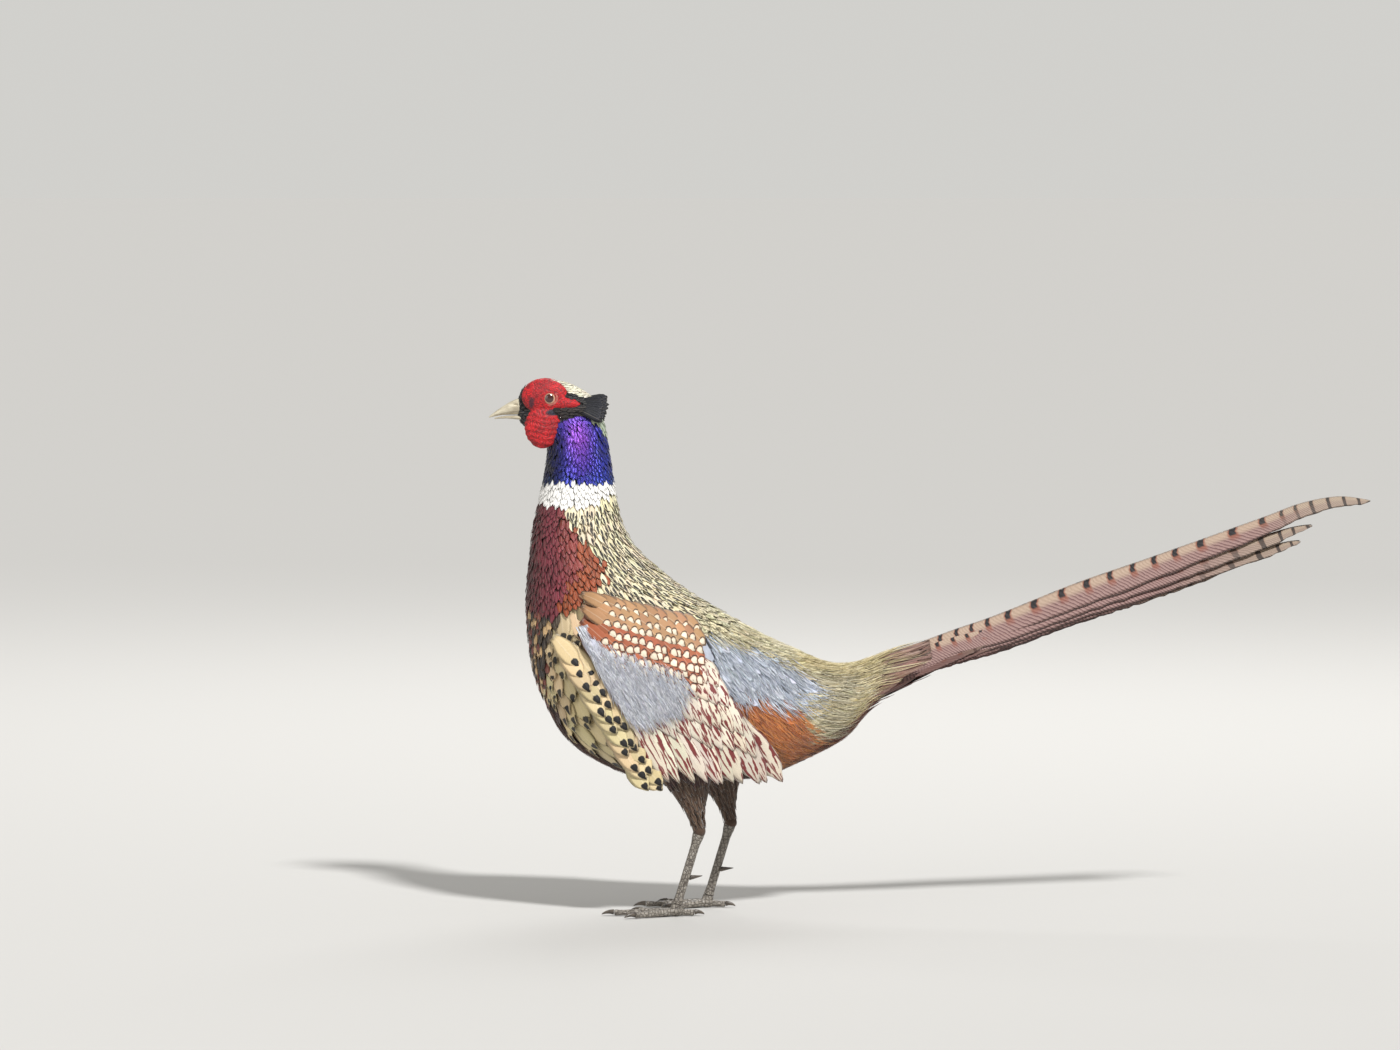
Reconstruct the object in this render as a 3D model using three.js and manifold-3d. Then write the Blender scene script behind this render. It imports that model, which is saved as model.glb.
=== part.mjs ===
// A cock common pheasant at life size, standing with its neck up and its long tail held high.
// Millimetres, +Z up. The bird faces -X, its left side is towards -Y, and its soles are at Z = 0.
// The origin is the middle of the bounding box, at the level of the soles.

import * as THREE from "three";
import { mergeVertices } from "three/addons/utils/BufferGeometryUtils.js";
import Module from "manifold-3d";

const wasm = await Module();
wasm.setup();

// Driving sizes
const gap = 0.3; // left between two pieces that touch
const billTipX = -352.4;
const tailTipX = 352.4;
const eyeCentre = new THREE.Vector3(-303.7, 10.6, 412.5);
const eyeRadius = 6.6;
const lidRadius = 5.3; // of the opening between the lids
const tarsusRadius = 3.5;
const toeRadius = 3.2;

// The trunk, from inside the skull to the root of the tail. Each row is one slanted section:
// the point on the back, the point on the throat, breast or belly, and half the width.
const trunkSections = [
  { back: [-268, 407], front: [-312, 390], half: 14.5 },
  { back: [-259.5, 390], front: [-306, 372.8], half: 20 },
  { back: [-252, 345], front: [-309.5, 345], half: 23.5 },
  { back: [-246, 315], front: [-317, 312], half: 29 },
  { back: [-231.6, 289.6], front: [-320.4, 284.8], half: 37 },
  { back: [-196, 260], front: [-323, 240], half: 50 },
  { back: [-161.2, 239.2], front: [-315.6, 186.4], half: 59 },
  { back: [-132, 221.5], front: [-287, 137], half: 63 },
  { back: [-105.2, 209.6], front: [-231.6, 108], half: 61 },
  { back: [-87.6, 201.5], front: [-183.6, 106.4], half: 56 },
  { back: [-71.6, 198.4], front: [-135.6, 109.6], half: 47 },
  { back: [-57.2, 200.4], front: [-98.8, 124], half: 36 },
  { back: [-46, 204], front: [-67.6, 140.8], half: 27 },
  { back: [-36.4, 208], front: [-49.2, 161.6], half: 20 },
  { back: [-24, 212.5], front: [-30, 174], half: 15.5 },
  { back: [0, 218.5], front: [4, 192], half: 9 },
];
const throatCut = 1; // the sections at which the trunk is parted
const shoulderCut = 4;
const rumpCut = 10;
const tailCut = 13;
const trunkEnd = trunkSections.length - 1;

// The skull, from the bill to the nape: how far along, its top, its bottom and half its width.
const skullSections = [
  { x: -331, top: 402, bottom: 402, half: 0 },
  { x: -329, top: 411, bottom: 396, half: 4.6 },
  { x: -324, top: 421, bottom: 390, half: 8 },
  { x: -314, top: 426.6, bottom: 385, half: 12.5 },
  { x: -300, top: 426.2, bottom: 383, half: 14.8 },
  { x: -286, top: 422.8, bottom: 386, half: 15.8 },
  { x: -274, top: 416, bottom: 392, half: 14 },
  { x: -265, top: 408, bottom: 398, half: 8 },
  { x: -262, top: 402, bottom: 402, half: 0 },
];
const upperBillSections = [
  { x: -320, top: 414.4, bottom: 398.9, half: 6.4 },
  { x: -328.4, top: 412.2, bottom: 398.8, half: 6 },
  { x: -336, top: 408.8, bottom: 398.7, half: 5 },
  { x: -343, top: 404.4, bottom: 398.3, half: 3.5 },
  { x: -349, top: 400, bottom: 397, half: 1.8 },
  { x: billTipX, top: 397.3, bottom: 396.3, half: 0.4 },
];
const lowerBillSections = [
  { x: -320, top: 398.4, bottom: 393.6, half: 5.9 },
  { x: -331, top: 398.2, bottom: 395, half: 4.6 },
  { x: -340, top: 397.8, bottom: 395.7, half: 3 },
  { x: -348, top: 396.2, bottom: 395.2, half: 1.2 },
];

// The wing hangs from a line between wrist and elbow. Each tier is a row of vanes below that
// line: how far down it starts, how long and broad a vane is, how steeply it falls, how far its
// root and its tip stand off the flank, and how far one edge lies over its neighbour.
const wrist = new THREE.Vector2(-272, 228);
const elbow = new THREE.Vector2(-184, 206);
const wingTiers = [
  // primaries
  { count: 3, from: 0.4, start: 56, length: 80, breadth: 20, fall: 56, root: 1.6, tip: 1.3 },
  // secondaries
  { count: 6, from: 0, start: 48, length: 90, breadth: 22, fall: 61, root: 2.2, tip: 3.3 },
  // greater coverts
  { count: 6, from: 0, start: 30, length: 56, breadth: 22, fall: 60, root: 2.4, tip: 5.4 },
  // lesser coverts
  { count: 5, from: 0, start: 4, length: 44, breadth: 24, fall: 58, root: 2.8, tip: 7.2 },
];
const wingBottom = 107; // the level of the longest feathers' tips
const scapularTiers = [
  // lower scapulars
  { count: 5, rise: 0, length: 40, breadth: 20, fall: 38, root: 3, tip: 9 },
  // upper scapulars
  { count: 4, rise: 11, length: 40, breadth: 20, fall: 30, root: 1.4, tip: 6.6 },
];
const shingle = 0.5; // how far a vane's upper edge stands over its middle
const vaneHalf = { edge: 0.28, shaft: 0.5 }; // half the thickness

// The tail: how long each pair of feathers is against the middle pair, and how far its tip hangs
// below the line of the middle pair.
const tailPairs = [
  { share: 1, hang: 2 },
  { share: 0.81, hang: 19 },
  { share: 0.775, hang: 29 },
  { share: 0.6, hang: 30 },
  { share: 0.47, hang: 28 },
  { share: 0.38, hang: 25 },
  { share: 0.31, hang: 22 },
  { share: 0.25, hang: 19 },
  { share: 0.2, hang: 16 },
];
const tailRidge = [
  [-26, 211],
  [16.4, 227],
  [54.8, 240.2],
  [114, 264],
  [163.6, 281.8],
  [208.4, 298.2],
  [267.6, 320.2],
  [297.2, 332],
  [326.8, 338.4],
  [tailTipX, 337],
];

// Each leg as a path from inside the belly to the ball of the foot, with the two half widths.
const leftFoot = new THREE.Vector3(-203, -33, 5);
const rightFoot = new THREE.Vector3(-178, 33, 5);
const footToHock = new THREE.Vector3(19, -2, 63);
const hockToBelly = new THREE.Vector3(-16, 3, 74);
const toes = [
  { name: "inner", turn: -32, length: 34, pads: 2 },
  { name: "middle", turn: -2, length: 49, pads: 3 },
  { name: "outer", turn: 30, length: 37, pads: 3 },
  { name: "hind", turn: 188, length: 15, pads: 1 },
];
const clawLength = 10;
const spurLength = 12;

// Plain tools

const range = (count) => Array.from({ length: count }, (_, i) => i);

// A seeded random number between -1 and 1.
let seed = 7;
function vary() {
  seed = (seed * 16807) % 2147483647;
  return (2 * seed) / 2147483647 - 1;
}

function smooth(from, to, value) {
  return THREE.MathUtils.smoothstep(value, from, to);
}

// A smooth curve through one named number, or one pair, of every row of a table.
function through(rows, pick) {
  return new THREE.CatmullRomCurve3(rows.map(pick), false, "catmullrom", 0.5);
}

// A closed manifold-3d solid from a geometry whose faces may point either way.
function solidOf(geometry) {
  const bare = geometry.clone();
  bare.deleteAttribute("normal");
  bare.deleteAttribute("uv");
  const merged = mergeVertices(bare, 1e-4);
  const build = (triVerts) =>
    new wasm.Manifold(
      new wasm.Mesh({
        numProp: 3,
        vertProperties: new Float32Array(merged.attributes.position.array),
        triVerts,
      }),
    );
  const faces = withoutSlivers(merged.index.array);
  const made = build(faces);
  return made.volume() > 0 ? made : build(turnedRound(faces));
}

// Triangles that a pole of a sphere leaves with two corners in one place are dropped.
function withoutSlivers(index) {
  const kept = [];
  for (let i = 0; i < index.length; i += 3) {
    const [a, b, c] = index.slice(i, i + 3);
    if (a !== b && b !== c && c !== a) kept.push(a, b, c);
  }
  return new Uint32Array(kept);
}

function turnedRound(faces) {
  const turned = new Uint32Array(faces);
  for (let i = 0; i < turned.length; i += 3) {
    [turned[i + 1], turned[i + 2]] = [turned[i + 2], turned[i + 1]];
  }
  return turned;
}

function geometryOf(solid) {
  const { vertProperties, triVerts } = solid.getMesh();
  return new THREE.BufferGeometry()
    .setAttribute("position", new THREE.BufferAttribute(new Float32Array(vertProperties), 3))
    .setIndex(new THREE.BufferAttribute(new Uint32Array(triVerts), 1));
}

// Joins geometries, cuts others away, and keeps the largest closed surface.
function fused(pieces, cutters = []) {
  const joined = pieces.map(solidOf).reduce((whole, piece) => whole.add(piece));
  const cut = cutters.map(solidOf).reduce((whole, cutter) => whole.subtract(cutter), joined);
  const parts = cut.decompose();
  return geometryOf(parts.reduce((a, b) => (b.volume() > a.volume() ? b : a)));
}

// The same shape on the other side of the bird.
function mirrored(geometry) {
  const other = geometry.clone().scale(1, -1, 1);
  return other.setIndex(new THREE.BufferAttribute(turnedRound(other.index.array), 1));
}

// A tube with flat ends. place(t, angle, share) gives a point: t runs along, angle round, and share
// is 0 on the axis and 1 on the surface.
function tube(place, around, along) {
  const geometry = new THREE.CylinderGeometry(1, 1, 1, around, along);
  return remapped(geometry, (v) => place(0.5 - v.y, Math.atan2(v.x, v.z), Math.hypot(v.x, v.z)));
}

// A closed form with a pole at each end, from place(t, angle).
function pod(place, around, along) {
  const geometry = new THREE.SphereGeometry(1, around, along);
  return remapped(geometry, (v) => {
    const t = Math.acos(THREE.MathUtils.clamp(v.y, -1, 1)) / Math.PI;
    return place(t, Math.atan2(v.x, v.z));
  });
}

function remapped(geometry, move) {
  const position = geometry.attributes.position;
  const v = new THREE.Vector3();
  for (let i = 0; i < position.count; i++) {
    const to = move(v.fromBufferAttribute(position, i));
    position.setXYZ(i, to.x, to.y, to.z);
  }
  return geometry;
}

// An ellipsoid, which bump(direction) may swell or dent by a share of its size.
function ellipsoid(centre, radii, around, along, bump = () => 0) {
  const geometry = new THREE.SphereGeometry(1, around, along);
  geometry.rotateX(Math.PI / 2);
  return remapped(geometry, (v) => {
    const swell = 1 + bump(v);
    return v.clone().multiply(radii).multiplyScalar(swell).add(centre);
  });
}

// A form whose sections stand across X: each has a top, a bottom and a half width.
function alongX(sections, grow = 0) {
  const level = through(sections, (s) => new THREE.Vector3(s.x, s.top, s.bottom));
  const breadth = through(sections, (s) => new THREE.Vector3(s.x, s.half, 0));
  return (t, angle, share = 1) => {
    const { x, y: top, z: bottom } = level.getPoint(t);
    const half = Math.max(0, breadth.getPoint(t).y) + grow;
    const middle = (top + bottom) / 2;
    const rise = (top - bottom) / 2 + grow;
    const reach = grow * (2 * t - 1) * Math.sign(sections.at(-1).x - sections[0].x);
    return new THREE.Vector3(
      x + reach,
      share * half * Math.sin(angle),
      middle + share * rise * Math.cos(angle),
    );
  };
}

// A round limb along a curve, with half widths radius(t) beside and across its run.
function limb(curve, radius, from, to, around, along) {
  return tube(
    (share, angle, out) => {
      const t = THREE.MathUtils.lerp(from, to, share);
      const centre = curve.getPoint(t);
      const run = curve.getTangent(t);
      const side = new THREE.Vector3(0, 1, 0).cross(run).normalize();
      const across = run.clone().cross(side).normalize();
      const [r, s] = radius(t);
      return centre
        .addScaledVector(side, out * r * Math.cos(angle))
        .addScaledVector(across, out * s * Math.sin(angle));
    },
    around,
    along,
  );
}

// A feather as one thin closed body. crossing(t) gives three points from edge over shaft to edge,
// the way out at each, and its half thickness there. Both faces are split along the same diagonals.
function vane(crossing, steps) {
  const points = [];
  for (let k = 0; k <= steps; k++) {
    const t = 1 - (1 - k / steps) ** 1.4; // closer steps towards the tip
    const rows = crossing(t);
    for (const side of [1, -1]) {
      for (const { point, out, half } of rows) {
        points.push(point.clone().addScaledVector(out, side * half));
      }
    }
  }
  const faces = [];
  const quad = (a, b, c, d) => faces.push(a, b, c, a, c, d);
  for (let k = 0; k < steps; k++) {
    const [near, far] = [6 * k, 6 * k + 6];
    for (const j of [0, 1]) {
      faces.push(near + j, far + j, far + j + 1, near + j, far + j + 1, near + j + 1);
      const under = 3 + j;
      faces.push(near + under, far + under + 1, far + under);
      faces.push(near + under, near + under + 1, far + under + 1);
    }
    quad(near, near + 3, far + 3, far);
    quad(near + 2, far + 2, far + 5, near + 5);
  }
  const last = 6 * steps;
  quad(0, 1, 4, 3);
  quad(1, 2, 5, 4);
  quad(last, last + 3, last + 4, last + 1);
  quad(last + 1, last + 4, last + 5, last + 2);
  return new THREE.BufferGeometry().setFromPoints(points).setIndex(faces);
}

// The breadth of a feather along its length: slim at the quill, full, and round at the tip.
function featherBreadth(t, slim = 0.45, roundFrom = 0.62) {
  const quill = slim + (1 - slim) * smooth(0, 0.4, t);
  const end = Math.max(0, t - roundFrom) / (1 - roundFrom);
  return quill * Math.max(0.1, Math.sqrt(1 - end * end));
}

// Trunk: neck, torso and rump are lengths of one form, parted by thin cuts

const backLine = through(trunkSections, (s) => new THREE.Vector3(s.back[0], 0, s.back[1]));
const frontLine = through(trunkSections, (s) => new THREE.Vector3(s.front[0], 0, s.front[1]));
const halfLine = through(trunkSections, (s) => new THREE.Vector3(0, s.half, 0));

// A point of the trunk. Station counts the sections, and angle is 0 on the back and PI below.
function trunkPoint(station, angle, share = 1, grow = 0) {
  const t = station / trunkEnd;
  const back = backLine.getPoint(t);
  const front = frontLine.getPoint(t);
  const centre = back.clone().add(front).multiplyScalar(0.5);
  const rise = back.sub(centre);
  rise.setLength(rise.length() + grow);
  const fullness = 1 - 0.08 * Math.cos(angle); // a little wider below than above
  const half = (halfLine.getPoint(t).y + grow) * fullness;
  return centre
    .addScaledVector(rise, share * Math.cos(angle))
    .add(new THREE.Vector3(0, share * half * Math.sin(angle), 0));
}

// How far the flank stands out at a place seen from the side, falling straight under the wing.
function flankReach(x, z) {
  const place = new THREE.Vector3(x, 0, z);
  const offset = (station) => {
    const t = station / trunkEnd;
    const down = frontLine.getPoint(t).sub(backLine.getPoint(t));
    return down.cross(place.clone().sub(backLine.getPoint(t))).y;
  };
  let [low, high] = [shoulderCut - 2, rumpCut + 2];
  const start = Math.sign(offset(low));
  for (let i = 0; i < 20; i++) {
    const half = (low + high) / 2;
    if (Math.sign(offset(half)) === start) low = half;
    else high = half;
  }
  const back = backLine.getPoint(low / trunkEnd);
  const front = frontLine.getPoint(low / trunkEnd);
  const down = place.distanceTo(back) / front.distanceTo(back);
  const angle = Math.acos(THREE.MathUtils.clamp(1 - 2 * down, -1, 1));
  return trunkPoint(low, Math.min(angle, Math.PI / 2), 1, 0).y;
}

// A place on the left flank, lifted off it, with the way out there.
function onFlank(place, lift) {
  const reach = flankReach(place.x, place.y);
  const step = 4;
  const slopeX = (flankReach(place.x + step, place.y) - reach) / step;
  const slopeZ = (flankReach(place.x, place.y + step) - reach) / step;
  const out = new THREE.Vector3(-slopeX, -1, -slopeZ).normalize();
  const point = new THREE.Vector3(place.x, -reach, place.y).addScaledVector(out, lift);
  return { point, out };
}

// Where the cut at a section leaves a gap, measured on the shorter side of the two.
function stationStep(station) {
  const t = station / trunkEnd;
  const step = 0.01;
  const apart = (line) => line.getPoint(t).distanceTo(line.getPoint(t + step / trunkEnd));
  return (gap / Math.min(apart(backLine), apart(frontLine))) * step;
}

function trunkLength(from, to, around, along, grow = 0) {
  return tube(
    (t, angle, share) => trunkPoint(THREE.MathUtils.lerp(from, to, t), angle, share, grow),
    around,
    along,
  );
}

// The three lengths that the trunk is parted into, and how finely each is faceted.
const lengths = {
  neck: [throatCut + stationStep(throatCut) / 2, shoulderCut, 22, 9],
  torso: [shoulderCut + stationStep(shoulderCut), rumpCut, 28, 16],
  rump: [rumpCut + stationStep(rumpCut), tailCut, 24, 7],
};

// What has to be cleared of a neighbour that rests on the trunk.
function trunkClearance() {
  const reach = 0.04;
  return Object.values(lengths).map(([from, to, around, along]) =>
    trunkLength(from - reach, to + reach, around, along, 2 * gap),
  );
}

// Bill

function billHalf(sections, grow, along) {
  const place = alongX(sections, grow);
  return tube((t, angle, share) => place(t, angle, share), 12, along);
}

function makeUpperBill() {
  const nostrils = [-1, 1].map((side) =>
    ellipsoid(new THREE.Vector3(-331, side * 5.4, 406.8), new THREE.Vector3(2.6, 1.6, 1.1), 8, 6),
  );
  return fused([billHalf(upperBillSections, 0, 7)], nostrils);
}

// Head: skull, red face, lids, ear tufts and the sockets of the bill and the eyes

function eyeBall(side, grow = 0) {
  const centre = eyeCentre.clone().multiply(new THREE.Vector3(1, side, 1));
  const r = eyeRadius + grow;
  return ellipsoid(centre, new THREE.Vector3(r, r, r), 12, 8);
}

function makeHead() {
  const skullPlace = alongX(skullSections);
  const pieces = [
    pod((t, angle) => skullPlace(t, angle), 14, 11),
    trunkLength(0, throatCut - stationStep(throatCut) / 2, 16, 2),
  ];
  const cutters = [billHalf(upperBillSections, gap, 7), billHalf(lowerBillSections, gap, 5)];
  for (const side of [-1, 1]) {
    pieces.push(...facePieces(side), ...earTuft(side));
    const earCup = new THREE.Vector3(-284, side * 20.5, 396);
    cutters.push(eyeBall(side, gap), ellipsoid(earCup, new THREE.Vector3(4, 5, 5), 8, 6));
  }
  return fused(pieces, cutters);
}

// The red skin of one side of the face: the pad round the eye, its point towards the ear, the
// hanging lobe with its small bulbs, and the lids.
function facePieces(side) {
  const bulbs = (v) => 0.05 * Math.sin(7 * v.x + 2) * Math.sin(6.5 * v.z + 1);
  const at = (x, y, z) => new THREE.Vector3(x, side * y, z);
  const pad = ellipsoid(at(-307, 9.6, 413), new THREE.Vector3(18, 5.6, 12.6), 12, 6);
  const point = ellipsoid(at(-290, 12, 408), new THREE.Vector3(12, 4.2, 5), 8, 5);
  const lobe = ellipsoid(at(-309, 11.5, 389.4), new THREE.Vector3(14.6, 6, 17), 12, 8, bulbs);
  const lids = new THREE.TorusGeometry(lidRadius, 1, 5, 14);
  lids.rotateX(Math.PI / 2);
  lids.translate(eyeCentre.x, side * 15, eyeCentre.z);
  return [pad, point, lobe, lids];
}

// The tuft of stiff feathers behind one ear, fanned backwards.
function earTuft(side) {
  return range(4).map((i) => {
    const angle = THREE.MathUtils.degToRad(6 - 14 * i);
    const run = new THREE.Vector3(Math.cos(angle), side * 0.12, Math.sin(angle));
    const across = new THREE.Vector3(-Math.sin(angle), 0, Math.cos(angle));
    const root = new THREE.Vector3(-279, side * (9.6 + 0.9 * i), 409 - 2 * i);
    const length = 25.5 - 1.3 * Math.abs(i - 1);
    return vane((t) => {
      const half = 5.8 * featherBreadth(t, 0.6, 0.7);
      return [-1, 0, 1].map((edge) => ({
        point: root.clone().addScaledVector(run, length * t).addScaledVector(across, edge * half),
        out: new THREE.Vector3(0, side, 0),
        half: (edge ? 0.3 : 0.55) * (1 - 0.4 * t),
      }));
    }, 3);
  });
}

// Legs

function legCurve(foot) {
  const side = Math.sign(foot.y);
  const hock = foot.clone().add(footToHock.clone().multiply(new THREE.Vector3(1, -side, 1)));
  const belly = hock.clone().add(hockToBelly.clone().multiply(new THREE.Vector3(1, side, 1)));
  return { foot, hock, belly };
}

function makeThigh(foot) {
  const { hock, belly } = legCurve(foot);
  const curve = new THREE.LineCurve3(hock, belly);
  const radius = (t) => [5 + 24 * smooth(0, 1, t), 4.6 + 12 * smooth(0, 1, t)];
  const whole = limb(curve, radius, 0, 1, 16, 8);
  const socket = tarsusLength(foot, 0.5, 1 + gap / hock.distanceTo(foot), gap);
  return fused([whole], [socket, ...trunkClearance()]);
}

// The scaled shank. It swells at the ankle and at the hock, and each scute stands a little proud.
function tarsusLength(foot, from, to, grow = 0) {
  const curve = new THREE.LineCurve3(foot, legCurve(foot).hock);
  const scutes = 12;
  const radius = (t) => {
    const joint = 1.3 * smooth(0.8, 0.97, t) + 0.9 * (1 - smooth(0, 0.2, t));
    const scute = grow ? 0.16 : 0.16 * ((t * scutes) % 1);
    const r = tarsusRadius + joint + scute + grow;
    return [r, r - 0.4];
  };
  return limb(curve, radius, from, to, 8, Math.round(24 * (to - from)));
}

function toeCurve(foot, toe) {
  const side = Math.sign(foot.y);
  const turn = THREE.MathUtils.degToRad(toe.turn * side);
  const ahead = new THREE.Vector3(-Math.cos(turn), Math.sin(turn), 0);
  const at = (share, z) => foot.clone().addScaledVector(ahead, toe.length * share).setZ(z);
  return new THREE.CatmullRomCurve3([at(0, 3.6), at(0.3, 3), at(0.65, 2.5), at(1, 2.4)]);
}

function onFloor(geometry) {
  return remapped(geometry, (v) => v.clone().setZ(Math.max(0, v.z)));
}

function makeFoot(foot) {
  const { hock } = legCurve(foot);
  const ankle = limb(
    new THREE.LineCurve3(foot, hock),
    () => [tarsusRadius + 0.9, tarsusRadius + 0.7],
    -0.03,
    0.07 - gap / hock.distanceTo(foot),
    10,
    2,
  );
  const toeForms = toes.map((toe) => {
    const radius = (t) => {
      const r = toeRadius * (1.05 - 0.32 * t) * (1 + 0.1 * Math.cos(2 * Math.PI * toe.pads * t));
      return [r, r];
    };
    return onFloor(limb(toeCurve(foot, toe), radius, 0, 1, 8, 2 * toe.pads + 1));
  });
  const ball = ellipsoid(foot.clone().setZ(3.6), new THREE.Vector3(6, 5.4, 4.6), 10, 6);
  return fused([onFloor(ankle), onFloor(ball), ...toeForms]);
}

function makeClaw(foot, toe) {
  const curve = toeCurve(foot, toe);
  const root = curve.getPoint(1);
  const run = curve.getTangent(1).setZ(0).normalize();
  const length = clawLength * (toe.name === "hind" ? 0.8 : 1);
  const at = (share, z) => root.clone().addScaledVector(run, gap + length * share).setZ(z);
  const bend = new THREE.CatmullRomCurve3([at(0, 2.8), at(0.4, 3), at(0.8, 1.9), at(1, 0.8)]);
  const radius = (t) => [2 * (1 - t) + 0.3, 1.6 * (1 - t) + 0.25];
  return onFloor(limb(bend, radius, 0, 1, 8, 4));
}

function makeSpur(foot) {
  const { hock } = legCurve(foot);
  const side = Math.sign(foot.y);
  const root = foot.clone().lerp(hock, 0.4);
  const tip = root.clone().add(new THREE.Vector3(spurLength + 2, -side * 4, 1.5));
  const radius = (t) => [2.6 * (1 - t) + 0.3, 2.6 * (1 - t) + 0.3];
  const cone = limb(new THREE.LineCurve3(root, tip), radius, 0, 1, 8, 3);
  const tarsus = limb(
    new THREE.LineCurve3(foot, hock),
    () => [tarsusRadius + 0.2 + gap, tarsusRadius - 0.2 + gap],
    0.1,
    0.9,
    16,
    1,
  );
  return fused([cone], [tarsus]);
}

// Wings and tail

// One feather of the left wing, from its root place, falling at an angle below level.
function wingVane(root, fall, length, breadth, lift) {
  const angle = THREE.MathUtils.degToRad(fall);
  const run = new THREE.Vector2(Math.cos(angle), -Math.sin(angle));
  const across = new THREE.Vector2(-run.y, run.x);
  return vane((t) => {
    const half = (breadth / 2) * featherBreadth(t);
    return [-1, 0, 1].map((edge) => {
      const place = root.clone().addScaledVector(run, length * t).addScaledVector(across, edge * half);
      const thickness = edge ? vaneHalf.edge : vaneHalf.shaft;
      const taper = 1 - 0.45 * t;
      return { ...onFlank(place, lift(t) + edge * shingle), half: thickness * taper + 0.06 };
    });
  }, length > 60 ? 4 : 3);
}

function tierVanes(tier) {
  return range(tier.count).map((i) => {
    const share = THREE.MathUtils.lerp(tier.from, 1, i / (tier.count - 1));
    const angle = THREE.MathUtils.degToRad(tier.fall + 3 * vary());
    const root = wrist.clone().lerp(elbow, share);
    root.add(new THREE.Vector2(Math.cos(angle), -Math.sin(angle)).multiplyScalar(tier.start));
    const reach = (root.y - wingBottom) / Math.sin(angle);
    const length = Math.min(tier.length, reach) * (1 - 0.04 * vary());
    const lift = (t) => THREE.MathUtils.lerp(tier.root, tier.tip, smooth(0, 0.45, t));
    return wingVane(root, tier.fall + 2 * vary(), length, tier.breadth, lift);
  });
}

function scapularVanes(tier) {
  return range(tier.count).map((i) => {
    const share = (i - 0.25) / (tier.count - 1);
    const root = wrist.clone().lerp(elbow, share * 0.86).add(new THREE.Vector2(-4, 10 + tier.rise));
    const lift = (t) => THREE.MathUtils.lerp(tier.root, tier.tip, smooth(0, 0.5, t));
    return wingVane(root, tier.fall + 14 * share + 2 * vary(), tier.length, tier.breadth, lift);
  });
}

// The feathered arm that the tiers grow from: a low pad on the flank, thickest along its middle.
function makeArm() {
  const middle = wrist.clone().lerp(elbow, 0.48).add(new THREE.Vector2(10, -19));
  const lengthwise = elbow.clone().sub(wrist).normalize();
  const across = new THREE.Vector2(-lengthwise.y, lengthwise.x);
  const pad = new THREE.SphereGeometry(1, 10, 6);
  return remapped(pad, (v) => {
    const place = middle
      .clone()
      .addScaledVector(lengthwise, 54 * v.x)
      .addScaledVector(across, 45 * v.y);
    const rim = Math.sqrt(Math.max(0, 1 - v.x * v.x - v.y * v.y));
    const lift = v.z > 0 ? 1.2 + 3.6 * rim : 1.2 - rim;
    return onFlank(place, lift).point;
  });
}

function makeWing() {
  const vanes = [...wingTiers.flatMap(tierVanes), ...scapularTiers.flatMap(scapularVanes)];
  return fused([makeArm(), ...vanes], trunkClearance());
}

// One tail feather. The two webs slope down from the shaft like a roof, the outer one further.
function tailVane(pair, side) {
  const { share, hang } = tailPairs[pair];
  const ridge = new THREE.CatmullRomCurve3(tailRidge.map(([x, z]) => new THREE.Vector3(x, 0, z)));
  const sink = 2.2 * pair;
  const pitch = THREE.MathUtils.degToRad(64 - 3.2 * pair);
  const outward = new THREE.Vector3(0, side * Math.cos(pitch), -Math.sin(pitch));
  const upright = new THREE.Vector3(0, side * Math.sin(pitch), Math.cos(pitch));
  const steps = pair === 0 ? 8 : pair < 4 ? 5 : 4;
  return vane((t) => {
    const drop = 5 + sink * (1 - t) + hang * t ** 1.3;
    const spread = pair ? 2.6 + 0.7 * pair + 1.4 * t : 1.9;
    const shaft = ridge.getPoint(share * t).add(new THREE.Vector3(0, side * spread, -drop));
    const full = featherBreadth(t, 0.7, 0.18) * (1 - 0.35 * t);
    const webs = [-5.5 * full, 0, (22 - pair) * full];
    return webs.map((web, j) => ({
      point: shaft.clone().addScaledVector(outward, web),
      out: upright,
      half: (j === 1 ? 0.8 : 0.3) * (1 - 0.6 * t) + 0.08,
    }));
  }, steps);
}

function makeTail() {
  const root = trunkLength(tailCut + stationStep(tailCut), trunkEnd, 16, 3);
  const vanes = tailPairs.flatMap((_, pair) => [-1, 1].map((side) => tailVane(pair, side)));
  return fused([root, ...vanes], trunkClearance());
}

// The finished bird

const red = new THREE.MeshStandardMaterial({ color: 0xb01218, roughness: 0.6 });
const horn = new THREE.MeshStandardMaterial({ color: 0xd8cfb4, roughness: 0.4 });
const darkHorn = new THREE.MeshStandardMaterial({ color: 0x3a332c, roughness: 0.5 });
const amber = new THREE.MeshStandardMaterial({ color: 0xc98a3a, roughness: 0.1 });
const blueNeck = new THREE.MeshStandardMaterial({ color: 0x1f2a78, roughness: 0.35, metalness: 0.4 });
const copper = new THREE.MeshStandardMaterial({ color: 0x8a3a1c, roughness: 0.5 });
const powderBlue = new THREE.MeshStandardMaterial({ color: 0x9fb0bd, roughness: 0.7 });
const wingGrey = new THREE.MeshStandardMaterial({ color: 0xa9aeb0, roughness: 0.7 });
const tailBuff = new THREE.MeshStandardMaterial({ color: 0xa08070, roughness: 0.7 });
const legGrey = new THREE.MeshStandardMaterial({ color: 0x8a8578, roughness: 0.6 });
const thighDown = new THREE.MeshStandardMaterial({ color: 0x5a4632, roughness: 0.9 });

const bird = new THREE.Group();

function add(name, geometry, material) {
  const mesh = new THREE.Mesh(geometryOf(solidOf(geometry)), material);
  mesh.name = name;
  bird.add(mesh);
}

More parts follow.
